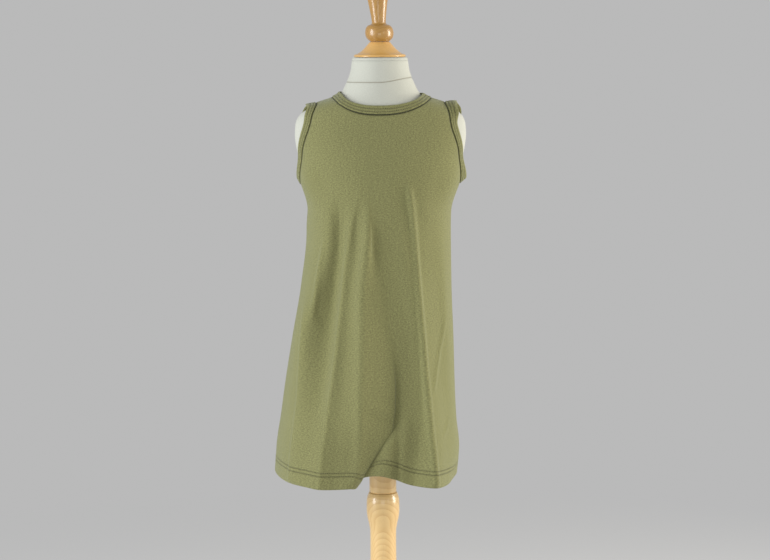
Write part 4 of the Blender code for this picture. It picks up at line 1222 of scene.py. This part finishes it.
def canvas(name, colour, shade_and_texture_colour):
    """Plain-woven cotton canvas, stretched over the form."""
    graph = Graph(name)
    place, across, up = flat_cloth(graph)
    weave = graph.times(graph.wave(across, WEAVE_PITCH), graph.wave(up, WEAVE_PITCH))
    slub = graph.noise(graph.scaled(place, (1, 6, 1)), 260, detail=3.0, roughness=0.6)
    cloud = graph.noise(place, 20)
    deep = shade(colour, 0.9)
    base = graph.mix(graph.spread(slub, 0.3, 0.7), deep, shade(colour, 1.06))
    base = graph.tinted(base, deep, 0.25, cloud, 0.35, 0.7)
    base = graph.tinted(base, shade_and_texture_colour, 0.18, weave, 0.0, -1.0)
    # Painted shade: the seam's groove goes towards the dark colour.
    graph.surface(graph.with_painted_shade(base, shade_and_texture_colour), slub, change=0.15, roughness=0.75)
    graph.bump(graph.plus(weave, slub), strength=0.35, distance=0.1 * MM)
    graph.set(Sheen_Weight=0.12, Sheen_Roughness=0.5, Specular_IOR_Level=0.2)
    return graph.material


def lacquered_wood(name, light_colour, ring_colour, shift):
    """Turned light wood: growth rings cut by the lathe, fine pores along the grain and a clear coat."""
    graph = Graph(name)
    place = graph.add("ShaderNodeTexCoord").outputs["Object"]
    parts = graph.add("ShaderNodeSeparateXYZ", {0: place}).outputs
    wobble = graph.noise(graph.scaled(place, (18, 18, 3.2)), 1.0)
    sway = graph.times(wobble, RING_SWAY)
    aside = graph.plus(graph.plus(parts[0], sway), shift[0])
    depth = graph.plus(graph.plus(parts[1], sway), shift[1])
    depth = graph.plus(depth, graph.times(parts[2], RING_LEAN))
    squares = graph.plus(graph.maths("POWER", aside, 2.0), graph.maths("POWER", depth, 2.0))
    rings = graph.maths("FRACT", graph.maths("DIVIDE", graph.maths("SQRT", squares), RING_PITCH))
    late = graph.maths("POWER", rings, 2.5)
    fibres = graph.noise(graph.scaled(place, (1, 1, 0.04)), 2600, detail=2.0, roughness=0.6)
    pores = graph.noise(graph.scaled(place, (1, 1, 0.07)), 900, detail=3.0, roughness=0.65)
    cloud = graph.noise(graph.scaled(place, (1, 1, 0.4)), 26)
    base = graph.mix(graph.times(late, 0.5), light_colour, ring_colour)
    base = graph.tinted(base, ring_colour, 0.4, pores, 0.55, 0.8)
    base = graph.tinted(base, ring_colour, 0.3, cloud, 0.35, 0.75)
    base = graph.tinted(base, shade(light_colour, 0.8), 0.3, fibres, 0.45, 0.75)
    graph.surface(base, pores, change=0.16, roughness=0.3)
    graph.bump(graph.plus(fibres, pores), strength=0.12, distance=0.1 * MM)
    graph.set(Coat_Weight=0.6, Coat_Roughness=0.16, Specular_IOR_Level=0.45)
    return graph.material


def pale_floor():
    """A matt floor that fades into the pale surroundings a short way off."""
    graph = Graph("pale_floor")
    place = graph.add("ShaderNodeTexCoord").outputs["Object"]
    grain = graph.noise(place, 90, detail=3.0)
    base = graph.mix(graph.times(grain, 0.05), FLOOR_COLOUR, FLOOR_GRAIN)
    graph.join(base, graph.shader.inputs["Base Color"])
    graph.set(Roughness=0.85, Specular_IOR_Level=0.15)
    far = graph.add("ShaderNodeVectorMath", {0: place}, operation="LENGTH").outputs["Value"]
    faded = graph.spread(far, *FLOOR_FADE)
    glow = graph.add("ShaderNodeEmission", {"Color": SURROUNDINGS, "Strength": 1.0}).outputs[0]
    both = graph.add("ShaderNodeMixShader", {0: faded, 1: graph.shader.outputs[0], 2: glow}).outputs[0]
    graph.join(both, graph.tree.nodes["Material Output"].inputs[0])
    return graph.material


def surroundings():
    """Pale soft light from everywhere."""
    world = bpy.data.worlds.new("pale_room")
    bpy.context.scene.world = world
    world.use_nodes = True
    back = world.node_tree.nodes["Background"]
    back.inputs["Color"].default_value = SURROUNDINGS
    back.inputs["Strength"].default_value = 1.0


def add_lamp(lamp):
    """A soft box at its place, turned to its target."""
    light = bpy.data.lights.new(lamp.name, "AREA")
    light.shape = "RECTANGLE"
    light.size, light.size_y = lamp.size
    light.energy = lamp.power
    light.color = lamp.colour
    obj = bpy.data.objects.new(lamp.name, light)
    obj.location = lamp.place
    bpy.context.scene.collection.objects.link(obj)
    direction = np.array(lamp.target) - np.array(lamp.place)
    turn = math.atan2(direction[1], direction[0]) - math.pi / 2
    tilt = math.atan2(direction[2], np.hypot(direction[0], direction[1])) + math.pi / 2
    obj.rotation_euler = (tilt, 0, turn)


def camera():
    """The photograph's own view, worked out from the dress's outline."""
    data = bpy.data.cameras.new("camera")
    data.sensor_width = SENSOR_WIDTH
    data.lens = data.sensor_width * FOCAL_PIXELS / IMAGE_WIDTH
    obj = bpy.data.objects.new("camera", data)
    tilt = math.pi / 2 - math.atan(HORIZON_PIXELS / FOCAL_PIXELS)
    turn = Euler((tilt, 0, 0)).to_matrix() @ Matrix.Rotation(math.radians(CAMERA_ROLL), 3, "Z")
    obj.rotation_euler = turn.to_euler()
    obj.location = CAMERA_PLACE
    bpy.context.scene.collection.objects.link(obj)
    bpy.context.scene.camera = obj


def floor():
    """A level square floor, far wider than the view."""
    mesh = bpy.data.meshes.new("floor")
    corners = [(x * FLOOR_REACH, y * FLOOR_REACH, 0) for x, y in ((-1, -1), (1, -1), (1, 1), (-1, 1))]
    mesh.from_pydata(corners, [], [(0, 1, 2, 3)])
    mesh.materials.append(pale_floor())
    obj = bpy.data.objects.new("floor", mesh)
    bpy.context.scene.collection.objects.link(obj)


def main():
    """Builds every piece, hides the imported part that each one replaces, and lights the scene."""
    pieces = dress(jersey(*OLIVE_JERSEY), jersey(*OLIVE_THREAD))
    nodes = {
        "front": "front_panel",
        "back": "back_panel",
        "neck": "neck_binding",
        "right": "right_armhole_binding",
        "left": "left_armhole_binding",
    }
    for key, obj in pieces.items():
        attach(obj, "root")
        if key in nodes:
            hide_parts(nodes[key])
    form = canvas_form(canvas(*CREAM_CANVAS))
    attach(form, "root")
    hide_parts("form_torso")
    pale = lacquered_wood(*PALE_WOOD)
    golden = lacquered_wood(*GOLDEN_WOOD)
    honey = lacquered_wood(*HONEY_WOOD)
    turned_pieces = {
        "neck_cap": (NECK_CAP, honey),
        "finial": (FINIAL, golden),
        "upper_post": (UPPER_POST, pale),
        "turned_post": (TURNED_POST, pale),
        "base": (BASE, pale),
    }
    for node, (outline, wood) in turned_pieces.items():
        lean = FINIAL_LEAN if node == "finial" else 0.0
        piece = turned(f"wooden_{node}", outline, wood, lean)
        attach(piece, "root")
        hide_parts(node)
    floor()
    surroundings()
    for lamp in LAMPS:
        add_lamp(lamp)
    camera()
    bpy.context.scene.view_settings.view_transform = "Standard"


main()
